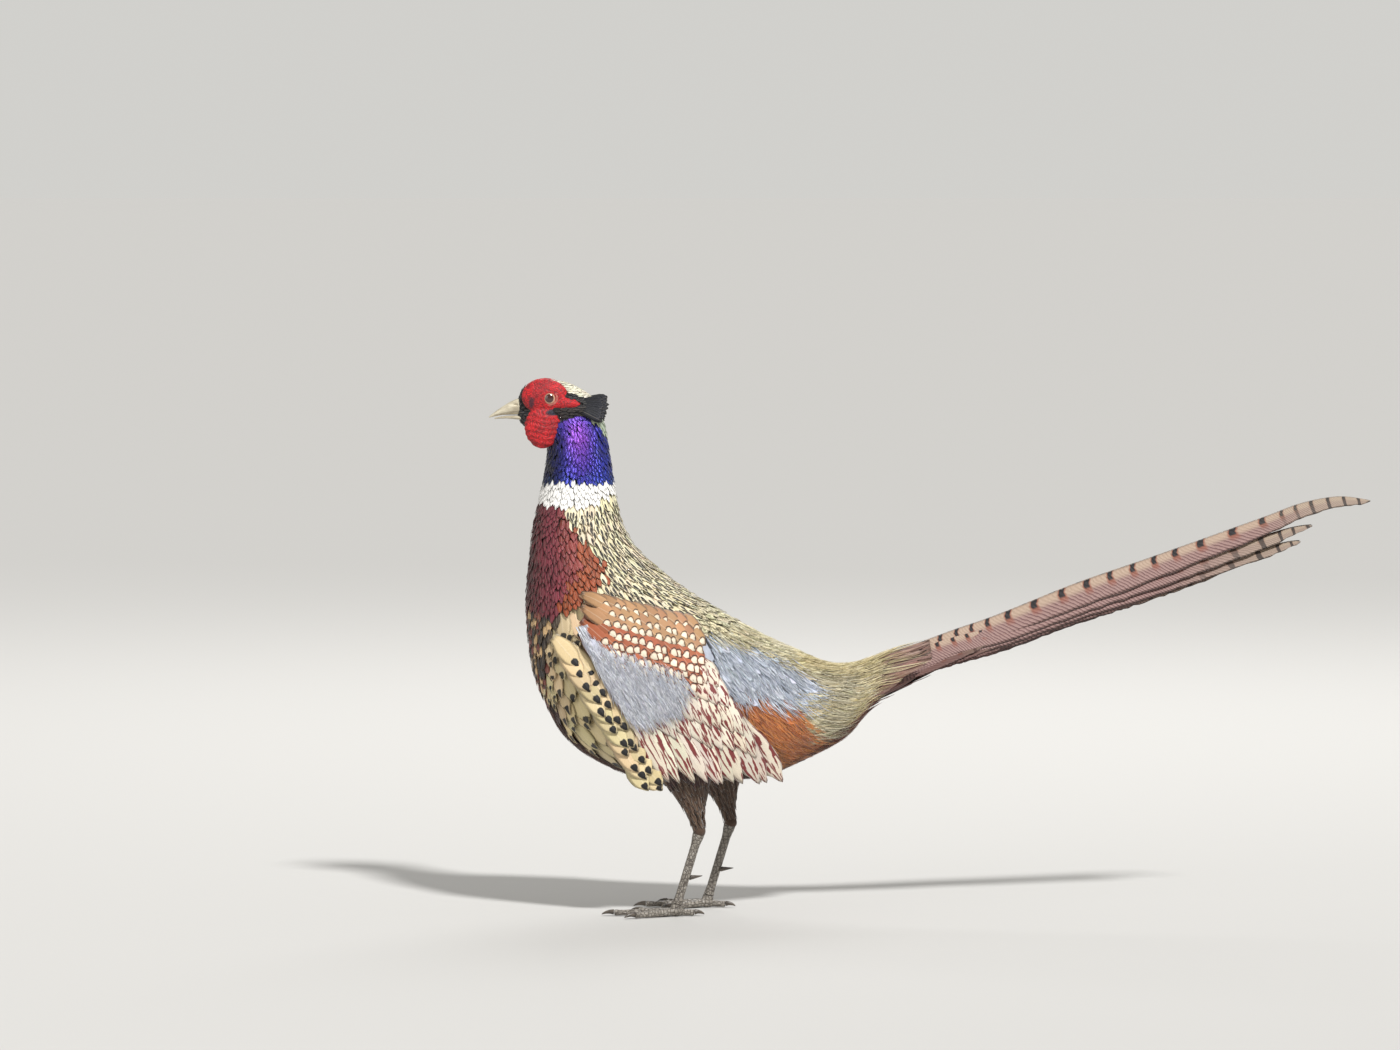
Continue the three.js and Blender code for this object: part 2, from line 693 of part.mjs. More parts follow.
add("head", makeHead(), red);
add("bill_upper", makeUpperBill(), horn);
add("bill_lower", billHalf(lowerBillSections, 0, 5), horn);
add("eye_left", eyeBall(-1), amber);
add("eye_right", eyeBall(1), amber);
add("neck", trunkLength(...lengths.neck), blueNeck);
add("torso", trunkLength(...lengths.torso), copper);
add("rump", trunkLength(...lengths.rump), powderBlue);
const leftWing = makeWing();
add("wing_left", leftWing, wingGrey);
add("wing_right", mirrored(leftWing), wingGrey);
add("tail", makeTail(), tailBuff);
for (const [side, foot] of Object.entries({ left: leftFoot, right: rightFoot })) {
  add(`thigh_${side}`, makeThigh(foot), thighDown);
  add(`tarsus_${side}`, tarsusLength(foot, 0.07, 1), legGrey);
  add(`foot_${side}`, makeFoot(foot), legGrey);
  add(`spur_${side}`, makeSpur(foot), darkHorn);
  for (const toe of toes) add(`claw_${toe.name}_${side}`, makeClaw(foot, toe), darkHorn);
}

// The origin: the middle of the bounding box, at the soles.
const bounds = new THREE.Box3().setFromObject(bird, true);
const middle = bounds.getCenter(new THREE.Vector3());
bird.position.set(-middle.x, -middle.y, -bounds.min.z);

export default bird;
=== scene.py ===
import math

import bpy
import numpy as np
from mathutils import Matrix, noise


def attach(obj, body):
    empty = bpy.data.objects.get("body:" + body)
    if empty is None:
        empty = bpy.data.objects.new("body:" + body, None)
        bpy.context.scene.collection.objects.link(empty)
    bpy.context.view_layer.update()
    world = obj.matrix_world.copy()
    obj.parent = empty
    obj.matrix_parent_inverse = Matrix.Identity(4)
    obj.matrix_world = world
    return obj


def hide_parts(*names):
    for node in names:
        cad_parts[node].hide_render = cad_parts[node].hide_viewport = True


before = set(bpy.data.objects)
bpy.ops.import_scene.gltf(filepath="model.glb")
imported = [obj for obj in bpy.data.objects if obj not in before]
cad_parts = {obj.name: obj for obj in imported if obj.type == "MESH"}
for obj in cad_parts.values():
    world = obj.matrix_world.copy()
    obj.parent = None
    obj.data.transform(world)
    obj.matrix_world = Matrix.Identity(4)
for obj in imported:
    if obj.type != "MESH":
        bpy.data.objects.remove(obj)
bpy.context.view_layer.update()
bpy.ops.object.select_all(action="DESELECT")
mm = 0.001  # every table below is in millimetres, turned into metres where a mesh is made
draw = np.random.default_rng(7)
scene = bpy.context.scene
sideSign = {"left": -1, "right": 1}  # y grows towards the bird's right


def selectOnly(*pieces):
    bpy.ops.object.select_all(action="DESELECT")
    for piece in pieces:
        piece.select_set(True)
    bpy.context.view_layer.objects.active = pieces[0]


def joined(parts, name):
    selectOnly(*parts)
    bpy.ops.object.join()
    bpy.context.object.name = name
    return bpy.context.object


# Camera, floor and light

studio = {
    "lens": 200,
    "sensor": 36,
    "reach": 60,  # metres of floor, and how far the camera sees
    "frameWidth": 1.12,  # metres across the photo at the bird
    "target": (-0.1836, 0, 0.3104),
    "elevation": 3.5,
    "floorColour": (0.56, 0.55, 0.53, 1),
    "skyColour": (1.0, 0.99, 0.95, 1),
    "skyStrength": 0.34,
    "backdropStrength": 0.64,  # how bright the sky looks behind the bird
    "sun": ((0.75, -1.5, 1.7), 3.7, 6),  # towards it, strength and softness in degrees
    "lights": [  # place, size and watts
        ((-2.2, -2.0, 1.2), 2.0, 16),
        ((0.2, 2.2, 2.2), 1.6, 30),
    ],
}


def setStudio():
    tilt = math.radians(studio["elevation"])
    away = studio["frameWidth"] * studio["lens"] / studio["sensor"]
    x, y, z = studio["target"]
    bpy.ops.object.camera_add(location=(x, y - away * math.cos(tilt), z + away * math.sin(tilt)))
    camera = bpy.context.object
    camera.rotation_euler = (math.pi / 2 - tilt, 0, 0)
    camera.data.sensor_width = studio["sensor"]
    camera.data.lens = studio["lens"]
    camera.data.clip_end = studio["reach"]
    scene.camera = camera

    def aimed(light, aim):
        flat = math.hypot(aim[0], aim[1])
        light.rotation_euler = (math.atan2(flat, -aim[2]), 0, math.atan2(aim[1], aim[0]) - math.pi / 2)

    way, strength, softness = studio["sun"]
    bpy.ops.object.light_add(type="SUN", location=way)
    bpy.context.object.data.energy = strength
    bpy.context.object.data.angle = math.radians(softness)
    aimed(bpy.context.object, -np.array(way))
    for place, size, watts in studio["lights"]:
        bpy.ops.object.light_add(type="AREA", location=place)
        light = bpy.context.object
        light.data.size = size
        light.data.energy = watts
        aimed(light, np.array(studio["target"]) - np.array(place))
    world = bpy.data.worlds.new("softSky")
    world.use_nodes = True
    sky = world.node_tree.nodes["Background"]
    sky.inputs["Color"].default_value = studio["skyColour"]
    rays = world.node_tree.nodes.new("ShaderNodeLightPath")
    strength = world.node_tree.nodes.new("ShaderNodeMapRange")
    strength.inputs["To Min"].default_value = studio["skyStrength"]
    strength.inputs["To Max"].default_value = studio["backdropStrength"]
    world.node_tree.links.new(rays.outputs["Is Camera Ray"], strength.inputs["Value"])
    world.node_tree.links.new(strength.outputs[0], sky.inputs["Strength"])
    scene.world = world
    scene.view_settings.view_transform = "Standard"
    bpy.ops.mesh.primitive_plane_add(size=studio["reach"], location=(0, 0, -0.0005))
    floor = bpy.context.object
    floor.name = "studio_floor"
    material = bpy.data.materials.new("paleFloor")
    material.use_nodes = True
    shader = material.node_tree.nodes["Principled BSDF"]
    shader.inputs["Base Color"].default_value = studio["floorColour"]
    shader.inputs["Roughness"].default_value = 0.85
    floor.data.materials.append(material)


setStudio()
print("studio set")


# Curves and surfaces that the coat grows from, as the frame's solids have them

trunk = {
    "back": [
        (-268, 407), (-259.5, 390), (-252, 345), (-246, 315), (-231.6, 289.6), (-196, 260),
        (-161.2, 239.2), (-132, 221.5), (-105.2, 209.6), (-87.6, 201.5), (-71.6, 198.4),
        (-57.2, 200.4), (-46, 204), (-36.4, 208), (-24, 212.5), (0, 218.5),
    ],
    "front": [
        (-312, 390), (-306, 372.8), (-309.5, 345), (-317, 312), (-320.4, 284.8), (-323, 240),
        (-315.6, 186.4), (-287, 137), (-231.6, 108), (-183.6, 106.4), (-135.6, 109.6),
        (-98.8, 124), (-67.6, 140.8), (-49.2, 161.6), (-30, 174), (4, 192),
    ],
    "half": [14.5, 20, 23.5, 29, 37, 50, 59, 63, 61, 56, 47, 36, 27, 20, 15.5, 9],
    "narrow": 0.08,  # how much less wide the back is than the middle
}
skull = {
    "x": [-331, -329, -324, -314, -300, -286, -274, -265, -262],
    "top": [402, 411, 421, 426.6, 426.2, 422.8, 416, 408, 402],
    "bottom": [402, 396, 390, 385, 383, 386, 392, 398, 402],
    "half": [0, 4.6, 8, 12.5, 14.8, 15.8, 14, 8, 0],
}


def splineAt(rows, place):
    # a smooth curve through the rows, read at places counted in rows
    rows = np.asarray(rows, float)
    if rows.ndim == 1:
        rows = rows[:, None]
    padded = np.vstack([2 * rows[0] - rows[1], rows, 2 * rows[-1] - rows[-2]])
    place = np.clip(np.asarray(place, float), 0, len(rows) - 1)
    start = np.minimum(place.astype(int), len(rows) - 2)
    w = (place - start)[..., None]
    a, b, c, d = (padded[start + k] for k in range(4))
    bend = (2 * a - 5 * b + 4 * c - d) * w**2
    return 0.5 * (2 * b + (c - a) * w + bend + (3 * b - a - 3 * c + d) * w**3)


def smooth(low, high, value):
    t = np.clip((np.asarray(value, float) - low) / (high - low), 0, 1)
    return t * t * (3 - 2 * t)


def unit(vectors):
    return vectors / np.maximum(np.linalg.norm(vectors, axis=-1, keepdims=True), 1e-9)


def mixed(a, b, share):
    return a + (b - a) * share


def trunkSurface(station, angle, grow=0.0):
    # angle 0 is the back and half a turn the belly; grow moves the surface outwards, in millimetres
    back = splineAt(trunk["back"], station)
    front = splineAt(trunk["front"], station)
    half = splineAt(trunk["half"], station)[..., 0]
    centre = (back + front) / 2
    rise = back - centre
    rise = rise * (1 + grow / np.linalg.norm(rise, axis=-1))[..., None]
    turn = np.cos(angle)
    x = centre[..., 0] + rise[..., 0] * turn
    z = centre[..., 1] + rise[..., 1] * turn
    y = (half + grow) * (1 - trunk["narrow"] * turn) * np.sin(angle)
    return np.stack([x, y, z], -1)


def skullSurface(station, angle, grow=0.0):
    x = splineAt(skull["x"], station)[..., 0]
    top = splineAt(skull["top"], station)[..., 0]
    bottom = splineAt(skull["bottom"], station)[..., 0]
    half = np.maximum(0.5, splineAt(skull["half"], station)[..., 0]) + grow
    middle = (top + bottom) / 2
    rise = np.maximum(0.5, (top - bottom) / 2) + grow
    return np.stack([x, half * np.sin(angle), middle + rise * np.cos(angle)], -1)


def limbSurface(path, radii):
    path = np.asarray(path, float)
    radii = np.asarray(radii, float)

    def surface(share, angle, grow=0.0):
        step = share * (len(path) - 1)
        centre = splineAt(path, step)
        run = unit(splineAt(path, step + 0.02) - splineAt(path, step - 0.02))
        side = unit(np.cross(np.array([0.0, 1.0, 0.0]), run))
        across = np.cross(run, side)
        r = splineAt(radii, share * (len(radii) - 1)) + grow
        rise = side * (r[..., :1] * np.cos(angle)[..., None])
        return centre + rise + across * (r[..., 1:] * np.sin(angle)[..., None])

    return surface


def framesOn(surface, first, second):
    # how a surface runs along each of its two coordinates, and its outward normal
    step = 0.01
    along = (surface(first + step, second) - surface(first - step, second)) / (2 * step)
    around = (surface(first, second + step) - surface(first, second - step)) / (2 * step)
    out = unit(np.cross(along, around))
    apart = surface(first, second, 1) - surface(first, second)
    return along, around, out * np.where(np.sum(out * apart, -1, keepdims=True) < 0, -1, 1)


# Vanes and strands made as arrays

vaneShape = {
    "steps": np.array([0, 0.28, 0.54, 0.76, 0.92, 1.0]),
    "sides": np.array([-1, -0.52, 0, 0.52, 1]),
    "thickness": 0.22,
    "slim": 0.5,  # the root's breadth against the full one
    "roundFrom": 0.45,
    "ragged": 0.05,
}
strandSteps = np.array([0, 0.35, 0.7, 1.0])
strandPoints = 3 * len(strandSteps)


def gridFaces(rows, cols):
    # quads of a vane's upper side, and of its underside, which shares the rim
    top = np.arange(rows * cols).reshape(rows, cols)
    under = top.copy()
    under[1:-1, 1:-1] = rows * cols + np.arange((rows - 2) * (cols - 2)).reshape(rows - 2, cols - 2)

    def quads(g):
        return np.stack([g[:-1, :-1], g[1:, :-1], g[1:, 1:], g[:-1, 1:]], -1).reshape(-1, 4)

    return np.vstack([quads(top), quads(under)[:, ::-1]])


def vaneBodies(places, out, thickness):
    n, rows, cols, _ = places.shape
    full = np.broadcast_to(np.asarray(thickness, float), (n, rows, cols))[..., None] / 2
    inner = np.zeros((rows, cols, 1))
    inner[1:-1, 1:-1] = 1
    top = (places + out * full * inner).reshape(n, -1, 3)
    under = (places - out * full)[:, 1:-1, 1:-1].reshape(n, -1, 3)
    points = np.concatenate([top, under], 1)
    step = points.shape[1]
    faces = (gridFaces(rows, cols)[None] + step * np.arange(n)[:, None, None]).reshape(-1, 4)
    return points.reshape(-1, 3), faces


def vaneMap(across, along, n):
    # each vane's own map, on the grid of its upper side and then of its underside's inner places
    flat = np.stack(np.broadcast_arrays(across + 0 * along, along + 0 * across), -1)
    flat = np.broadcast_to(flat, (n,) + flat.shape[-3:])
    under = flat[:, 1:-1, 1:-1].reshape(n, -1, 2)
    return np.concatenate([flat.reshape(n, -1, 2), under], 1).reshape(-1, 2)


def breadthAlong(t, slim, roundFrom):
    # slim at the root and round at the tip, as a share of the full breadth
    quill = slim + (1 - slim) * smooth(0, 0.4, t)
    end = np.maximum(0, t - roundFrom) / (1 - roundFrom)
    return quill * np.sqrt(np.maximum(0.12, 1 - end * end))


def spreadOn(surface, first, second, lie, along, across, lift):
    # points that run along the lie and across it from each root, following the surface
    da, db, out = framesOn(surface, first, second)
    flat = unit(lie - out * np.sum(lie * out, -1, keepdims=True))
    side = np.cross(out, flat)
    aa = np.sum(da * da, -1)
    bb = np.sum(db * db, -1)
    ab = np.sum(da * db, -1)
    det = np.maximum(aa * bb - ab * ab, 1e-9)

    def shift(vector):
        va = np.sum(vector * da, -1)
        vb = np.sum(vector * db, -1)
        return (bb * va - ab * vb) / det, (aa * vb - ab * va) / det

    fa, fb = shift(flat)
    sa, sb = shift(side)
    extra = (1,) * (along.ndim - 1)
    column = [v.reshape(v.shape + extra) for v in (first, second, fa, fb, sa, sb)]
    a = column[0] + column[2] * along + column[4] * across
    b = column[1] + column[3] * along + column[5] * across
    _, _, normal = framesOn(surface, a, b)
    return surface(a, b) + normal * lift[..., None], normal


def layVanes(surface, first, second, lie, spec):
    n = len(first)
    rows, cols = len(vaneShape["steps"]), len(vaneShape["sides"])
    t = vaneShape["steps"][None, :, None]
    s = vaneShape["sides"][None, None, :]
    length, breadth, root, tip = (spec[key][:, None, None] for key in ("length", "breadth", "root", "tip"))
    ragged = 1 + vaneShape["ragged"] * draw.standard_normal((n, rows, cols)) * (t > 0.9)
    along = length * (t - 0.16 * s * s * t**3) * ragged
    full = breadthAlong(t, vaneShape["slim"], vaneShape["roundFrom"])
    across = breadth / 2 * full * s * np.ones((n, 1, 1))
    lift = root + (tip - root) * t - 0.03 * breadth * s * s * (0.4 + 0.6 * t)
    places, out = spreadOn(surface, first, second, lie, along, across, lift + 0 * along)
    points, faces = vaneBodies(places, out, vaneShape["thickness"])
    return points, [faces], vaneMap((s + 1) / 2, t, n)


def strandBodies(path, out, width):
    # thin three-sided hairs along paths of four points
    n = len(path)
    run = unit(np.gradient(path, axis=1))
    side = np.cross(out, run)
    turn = (2 * np.pi * np.arange(3) / 3 + np.pi / 2)[None, None, :, None]
    half = (width[:, None] / 2 * (1 - 0.86 * strandSteps**1.6))[..., None, None]
    spokes = side[:, :, None] * np.cos(turn) + 0.5 * out[:, :, None] * np.sin(turn)
    places = path[:, :, None] + half * spokes
    ring = np.arange(3)
    after = (ring + 1) % 3
    walls = [np.stack([ring, after, 3 + after, 3 + ring], -1) + 3 * j for j in range(3)]
    base = strandPoints * np.arange(n)[:, None, None]
    quads = (np.vstack(walls)[None] + base).reshape(-1, 4)
    ends = (np.array([[2, 1, 0], [9, 10, 11]])[None] + base).reshape(-1, 3)
    t = strandSteps[None, :, None]
    flat = turn[..., 0]
    uv = np.stack(np.broadcast_arrays(0.5 + 0.3 * np.cos(flat) + 0 * t, t + 0 * flat), -1)
    uv = np.broadcast_to(uv, (n,) + uv.shape[1:]).reshape(-1, 2)
    return places.reshape(-1, 3), [quads, ends], uv


def layStrands(surface, first, second, lie, spec):
    t = strandSteps[None, :]
    along = spec["length"][:, None] * t
    across = spec["bend"][:, None] * t * t
    lift = spec["root"][:, None] + (spec["tip"] - spec["root"])[:, None] * t**1.2
    path, out = spreadOn(surface, first, second, lie, along, across, lift)
    return strandBodies(path, out, spec["breadth"])


def surfacePatches(first, second, uv, firstSpan):
    # each feather's patch of the baked picture, where its root stands on the surface
    middle = np.stack([first / firstSpan, (second / (2 * np.pi)) % 1], -1)
    return np.repeat(middle, len(uv) // len(first), 0) * 0.994 + 0.003 * uv


def tilePatches(n, uv, columns, fill=0.92):
    # a tile of the baked picture for each feather
    index = np.arange(n)
    corner = np.stack([(index % columns) / columns, (index // columns) / columns], -1)
    return np.repeat(corner, len(uv) // n, 0) + uv * fill / columns


def dress(piece, look, slotName, *nodes):
    piece.data.materials.clear()
    piece.data.materials.append(finish[look])
    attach(piece, "root")
    if nodes:
        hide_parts(*nodes)
    print(piece.name, len(piece.data.polygons))


def plumePiece(name, points, faceSets, uvMaps, colours, look, slotName, *nodes):
    # one mesh of all the feathers of a field, with each vane's map, its bake patch and its colours
    mesh = bpy.data.meshes.new(name)
    mesh.vertices.add(len(points))
    mesh.vertices.foreach_set("co", (points * mm).astype(np.float32).ravel())
    corners = np.concatenate([f.ravel() for f in faceSets])
    counts = np.concatenate([np.full(len(f), f.shape[1]) for f in faceSets])
    mesh.loops.add(len(corners))
    mesh.loops.foreach_set("vertex_index", corners.astype(np.int32))
    mesh.polygons.add(len(counts))
    mesh.polygons.foreach_set("loop_start", (np.cumsum(counts) - counts).astype(np.int32))
    mesh.polygons.foreach_set("use_smooth", np.ones(len(counts), bool))
    for key, values in zip(("vane", "OFBake"), uvMaps):
        layer = mesh.uv_layers.new(name=key)
        layer.data.foreach_set("uv", values[corners].astype(np.float32).ravel())
    for key, values in colours.items():
        layer = mesh.color_attributes.new(key, "FLOAT_COLOR", "POINT")
        layer.data.foreach_set("color", values.astype(np.float32).ravel())
    mesh.update()
    mesh.validate()
    piece = bpy.data.objects.new(name, mesh)
    scene.collection.objects.link(piece)
    dress(piece, look, slotName, *nodes)


# Plumage: what colour and what kind of feather grows where


def tone(code):
    parts = [int(code[i : i + 2], 16) / 255 for i in (0, 2, 4)]
    return np.array([p / 12.92 if p <= 0.04045 else ((p + 0.055) / 1.055) ** 2.4 for p in parts])


# base, heart and mark are colours, and on glossy feathers the heart is also the painted highlight's colour;
# the next seven say how strongly a feather shows its tip spot, dark edge, ring, shaft streak, pale heart,
# fine bars and gloss, which also sets how much painted highlight it shows; then length, breadth and spacing
# across, which the wings and the ear tufts have in tables of their own
plumage = {
    "neck": ("0e1450", "3a2090", "05051a", 0, 0, 0, 0, 0.3, 0, 1, 7.4, 3.8, 1.9),
    "ring": ("f6f4f0", "ffffff", "e6e2dc", 0, 0, 0, 0, 0, 0, 0, 8.5, 4.2, 2.1),
    "nape": ("a9b49c", "d0d8c0", "3c4438", 0, 0.1, 0, 0, 0.3, 0.1, 0.2, 8, 4.4, 2.9),
    "breast": ("481512", "8a3344", "180808", 0, 0.4, 0, 0, 0.3, 0, 0.45, 12, 5.6, 2.8),
    "chestnut": ("903e16", "ac5622", "240a06", 0, 0.7, 0, 0, 0.3, 0, 0.1, 12, 5.8, 2.9),
    "mottled": ("8c4a34", "d8b890", "140a0a", 0.9, 0.6, 0, 0, 0.6, 0, 0.1, 13, 7, 3.8),
    "mantle": ("e8dcb8", "f4ecd2", "110c09", 0, 0.08, 0, 1, 0.3, 0, 0, 15, 5.8, 3.2),
    "flank": ("d3bf92", "e4d6b4", "0a0707", 1, 0.02, 0, 0, 0.5, 0, 0.05, 34, 18, 11.5),
    "scapular": ("a65a38", "ece0c8", "1a0f0d", 0, 0.12, 0.9, 0, 1, 0, 0),
    "upperScapular": ("b38860", "ece0c8", "140c0c", 0, 0.3, 0.9, 0, 1, 0, 0),
    "covert": ("c6c9d4", "e0e2e8", "a2a6b6", 0, 0, 0, 0, 0.3, 0, 0),
    "quill": ("ddd2c0", "e6d8be", "7a3030", 0, 0.12, 0, 2, 0.2, 0, 0),
    "back": ("dcd2ac", "ebe4c8", "5c5434", 0, 0.25, 0, 0.3, 0.3, 1, 0, 15, 7.4, 4.4),
    "powder": ("c2c9d6", "dce1ea", "98a2b8", 0, 0, 0, 0, 0, 0.1, 0, 22, 10, 6.5),
    "rust": ("ba6220", "dc8e42", "7c3812", 0, 0, 0, 0, 0.2, 0, 0, 24, 10, 6.5),
    "rearFlank": ("bcb190", "d8d0b4", "857a5c", 0, 0.05, 0, 0, 0.3, 0.3, 0, 25, 10, 6.5),
    "tailCovert": ("c2b384", "dccfa6", "8a7a4e", 0, 0.05, 0, 0, 0.3, 0.2, 0, 24, 9, 6),
    "tailBase": ("8e6c60", "b09486", "2c1a16", 0, 0.25, 0, 0, 0.4, 0.2, 0, 34, 9, 5.2),
    "underTail": ("551f14", "7c3a22", "1c0a08", 0, 0.2, 0, 0, 0.2, 0, 0, 30, 12, 8),
    "belly": ("34120f", "54261e", "0a0605", 0, 0.3, 0, 0, 0.2, 0, 0, 24, 13, 8),
    "crown": ("e2dcc4", "f6f2e2", "a8a68c", 0, 0, 0, 0, 0.3, 0.1, 0, 6.6, 3.2, 2.0),
    "black": ("08080f", "141838", "020204", 0, 0.1, 0, 0, 0.3, 0, 0.3, 5.4, 3, 1.9),
    "ear": ("191214", "33242a", "060404", 0, 0.1, 0, 0, 0.3, 0, 0.15, 6, 3, 2.1),
    "tuft": ("04060e", "0a1030", "020205", 0, 0, 0, 0, 0.2, 0, 0.2),
    "thigh": ("4c3626", "6c5038", "1c120c", 0, 0.1, 0, 0, 0.3, 0.2, 0, 17, 8, 5.4),
}
zoneOf = {name: i for i, name in enumerate(plumage)}
baseTones, heartAndHighlightTones, markTones = (np.array([tone(row[k]) for row in plumage.values()]) for k in range(3))
weights = np.array([row[3:10] for row in plumage.values()], float)
sizes = np.array([row[10:] or (0, 0, 0) for row in plumage.values()], float)
extraTones = {
    "navy": tone("080926"),
    "royal": tone("141c72"),
    "violet": tone("3a1c92"),
    "pinkHighlight": tone("8e48bc"),
    "teal": tone("0d567c"),
    "blue": tone("222e9c"),
    "breastHighlight": tone("96364c"),
    "mottling": np.array([tone("7a3026"), tone("1c1010"), tone("d2ae7c")]),
}

# outlines of the fields on the bird's side, seen from the side
fields = {
    "breast": [
        (-345, 345), (-296, 332), (-291, 318), (-279, 300), (-281, 275), (-290, 256), (-300, 241),
        (-345, 241),
    ],
    "chestnut": [
        (-297, 334), (-290, 318), (-276, 300), (-255, 279), (-260, 262), (-276, 252), (-296, 243),
        (-303, 250), (-296, 280),
    ],
    "mottled": [
        (-345, 246), (-303, 243), (-298, 236), (-307, 216), (-308, 178), (-300, 160), (-300, 140),
        (-345, 150),
    ],
    "flank": [
        (-276, 252), (-262, 232), (-246, 206), (-213, 160), (-200, 118), (-214, 96), (-262, 106),
        (-296, 134), (-309, 170), (-312, 200), (-305, 232), (-297, 242),
    ],
    "powder": [
        (-182, 224), (-166, 224), (-140, 214), (-117, 203), (-94, 190), (-99, 177), (-119, 172),
        (-185, 180),
    ],
    "rust": [(-185, 182), (-140, 179), (-119, 173), (-103, 162), (-94, 140), (-104, 96), (-185, 96)],
    "rearFlank": [
        (-126, 203), (-88, 196), (-50, 182), (-44, 160), (-66, 124), (-104, 100), (-112, 130),
        (-97, 152), (-94, 178),
    ],
    "wing": [
        (-276, 252), (-237, 252), (-205, 248), (-176, 236), (-164, 212), (-166, 170), (-150, 138),
        (-124, 108), (-180, 100), (-203, 122), (-222, 158), (-246, 196), (-268, 226),
    ],
    "wingHair": [
        (-282, 232), (-262, 236), (-240, 220), (-208, 208), (-198, 194), (-206, 178), (-222, 170),
        (-240, 164), (-252, 178), (-268, 204),
    ],
}


def within(x, z, outline):
    inside = np.zeros(x.shape, bool)
    for (x1, z1), (x2, z2) in zip(outline, outline[1:] + outline[:1]):
        crosses = (z1 > z) != (z2 > z)
        at = (x2 - x1) * (z - z1) / ((z2 - z1) or 1e-9) + x1
        inside ^= crosses & (x < at)
    return inside


def zonePainter(shape, ground):
    zone = np.full(shape, zoneOf[ground])

    def put(name, where):
        zone[where] = zoneOf[name]

    return zone, put


def trunkZones(station, angle, places, spread=0.0):
    # the field of each place on neck, body and rump; spread mixes the borders as real feathers do.
    # it draws even where nothing is spread, so one call more or less changes every later feather
    x = places[:, 0] + spread * draw.standard_normal(len(places))
    z = places[:, 2] + spread * draw.standard_normal(len(places))
    turn = np.cos(angle)
    zone, put = zonePainter(x.shape, "mantle")
    put("back", (station > 6.3) | (x > -186))
    put("tailCovert", (x > -112) & (turn > -0.2))
    for name in ("rearFlank", "powder", "rust", "flank", "chestnut", "breast", "mottled"):
        put(name, within(x, z, fields[name]))
    put("tailCovert", station > 11.2)
    put("tailBase", station > 12.25)
    put("belly", (station > 6.4) & (turn < -0.95 + 0.1 * smooth(8, 10, station)) & (station < 11))
    put("underTail", (station > 11) & (turn < -0.6))
    ringEnd = 2.29 + 0.08 * (1 - turn) + 0.22 * np.sin(angle) ** 2
    put("ring", (station > 2.02) & (station < ringEnd))
    put("neck", station <= 2.02)
    put("nape", (station < 1.2) & (turn > 0.62 + 0.3 * smooth(0.6, 1.2, station)))
    return zone


def headZones(angle, places):
    x, z = places[:, 0], places[:, 2]
    turn = np.cos(angle)
    zone, put = zonePainter(x.shape, "ear")
    put("neck", (z < 391) & (x > -294))
    put("black", (turn > 0.1) | (x < -318) | ((z < 392) & (x < -300)))
    put("crown", (turn > 0.80 - 0.14 * smooth(-306, -290, x)) & (x > -310))
    return zone


def neckTint(station, angle):
    # navy in front, violet on the side under a painted pink highlight, royal blue behind and teal above the
    # ring
    turn = np.cos(angle)[:, None]
    station = station[:, None]
    front = smooth(-0.15, -0.8, turn)
    # where the side's violet and its painted pink highlight are strongest
    side = np.exp(-(((turn - 0.1) / 0.42) ** 2) - ((station - 0.7) / 0.75) ** 2)
    base = mixed(extraTones["royal"], extraTones["navy"], front)
    base = mixed(base, extraTones["violet"], 0.85 * side)
    base = mixed(base, extraTones["teal"], 0.55 * smooth(1.62, 1.95, station))
    heartAndHighlight = mixed(extraTones["blue"], extraTones["pinkHighlight"], side)
    return base, mixed(heartAndHighlight, extraTones["navy"], 0.8 * front)


def coatColours(zone, count, station=None, angle=None):
    # what the feather material reads, with each feather a little different
    n = len(zone)
    shade = (1 + 0.09 * draw.standard_normal((n, 1))).clip(0.7, 1.35)
    tint = 1 + 0.03 * draw.standard_normal((n, 3))
    ring = zone == zoneOf["ring"]
    shade[ring] = 1
    tint[ring] = 1
    base = baseTones[zone] * shade * tint
    heartAndHighlight = heartAndHighlightTones[zone] * shade
    if station is not None:
        blue = zone == zoneOf["neck"]
        neckBase, neckHeartAndHighlight = neckTint(station, angle)
        base[blue] = (neckBase * shade * tint)[blue]
        heartAndHighlight[blue] = neckHeartAndHighlight[blue]
        # the breast turns from maroon in front to chestnut at the side
        turn = np.cos(angle)[:, None]
        chestnut = baseTones[zoneOf["chestnut"]] * shade
        breast = mixed(base, chestnut, 0.6 * smooth(-0.6, -0.15, turn))
        # a pink highlight is painted in a band between the front and the side
        light = 0.35 * np.exp(-(((turn + 0.6) / 0.2) ** 2))
        breast = mixed(breast, extraTones["breastHighlight"] * shade, light)
        base[zone == zoneOf["breast"]] = breast[zone == zoneOf["breast"]]
    mottled = zone == zoneOf["mottled"]
    base[mottled] = extraTones["mottling"][draw.integers(0, 3, n)][mottled]
    power = weights[zone]
    one = np.ones((n, 1))
    columns = {
        "plumeBase": np.hstack([base, one]),
        "plumeHeartAndHighlight": np.hstack([heartAndHighlight, one]),
        "plumeMark": np.hstack([markTones[zone], one]),
        "plumeMarks": power[:, :4],
        "plumeMore": np.hstack([power[:, 4:7], draw.random((n, 1))]),
    }
    return {key: np.repeat(np.clip(v, 0, 4), count, 0) for key, v in columns.items()}


def strandColours(zone):
    # loose feathers mix their three colours from strand to strand
    colours = coatColours(zone, 1)
    pick = draw.random((len(zone), 1))
    base = colours["plumeBase"]
    dark = 0.6 * colours["plumeMark"] + 0.4 * base
    tones = np.where(pick < 0.22, dark, np.where(pick > 0.6, colours["plumeHeartAndHighlight"], base))
    tones[:, 3] = 1
    colours["plumeBase"] = tones
    colours["plumeMarks"][:] = 0
    colours["plumeMore"][:, :2] = 0
    return {key: np.repeat(v, strandPoints, 0) for key, v in colours.items()}


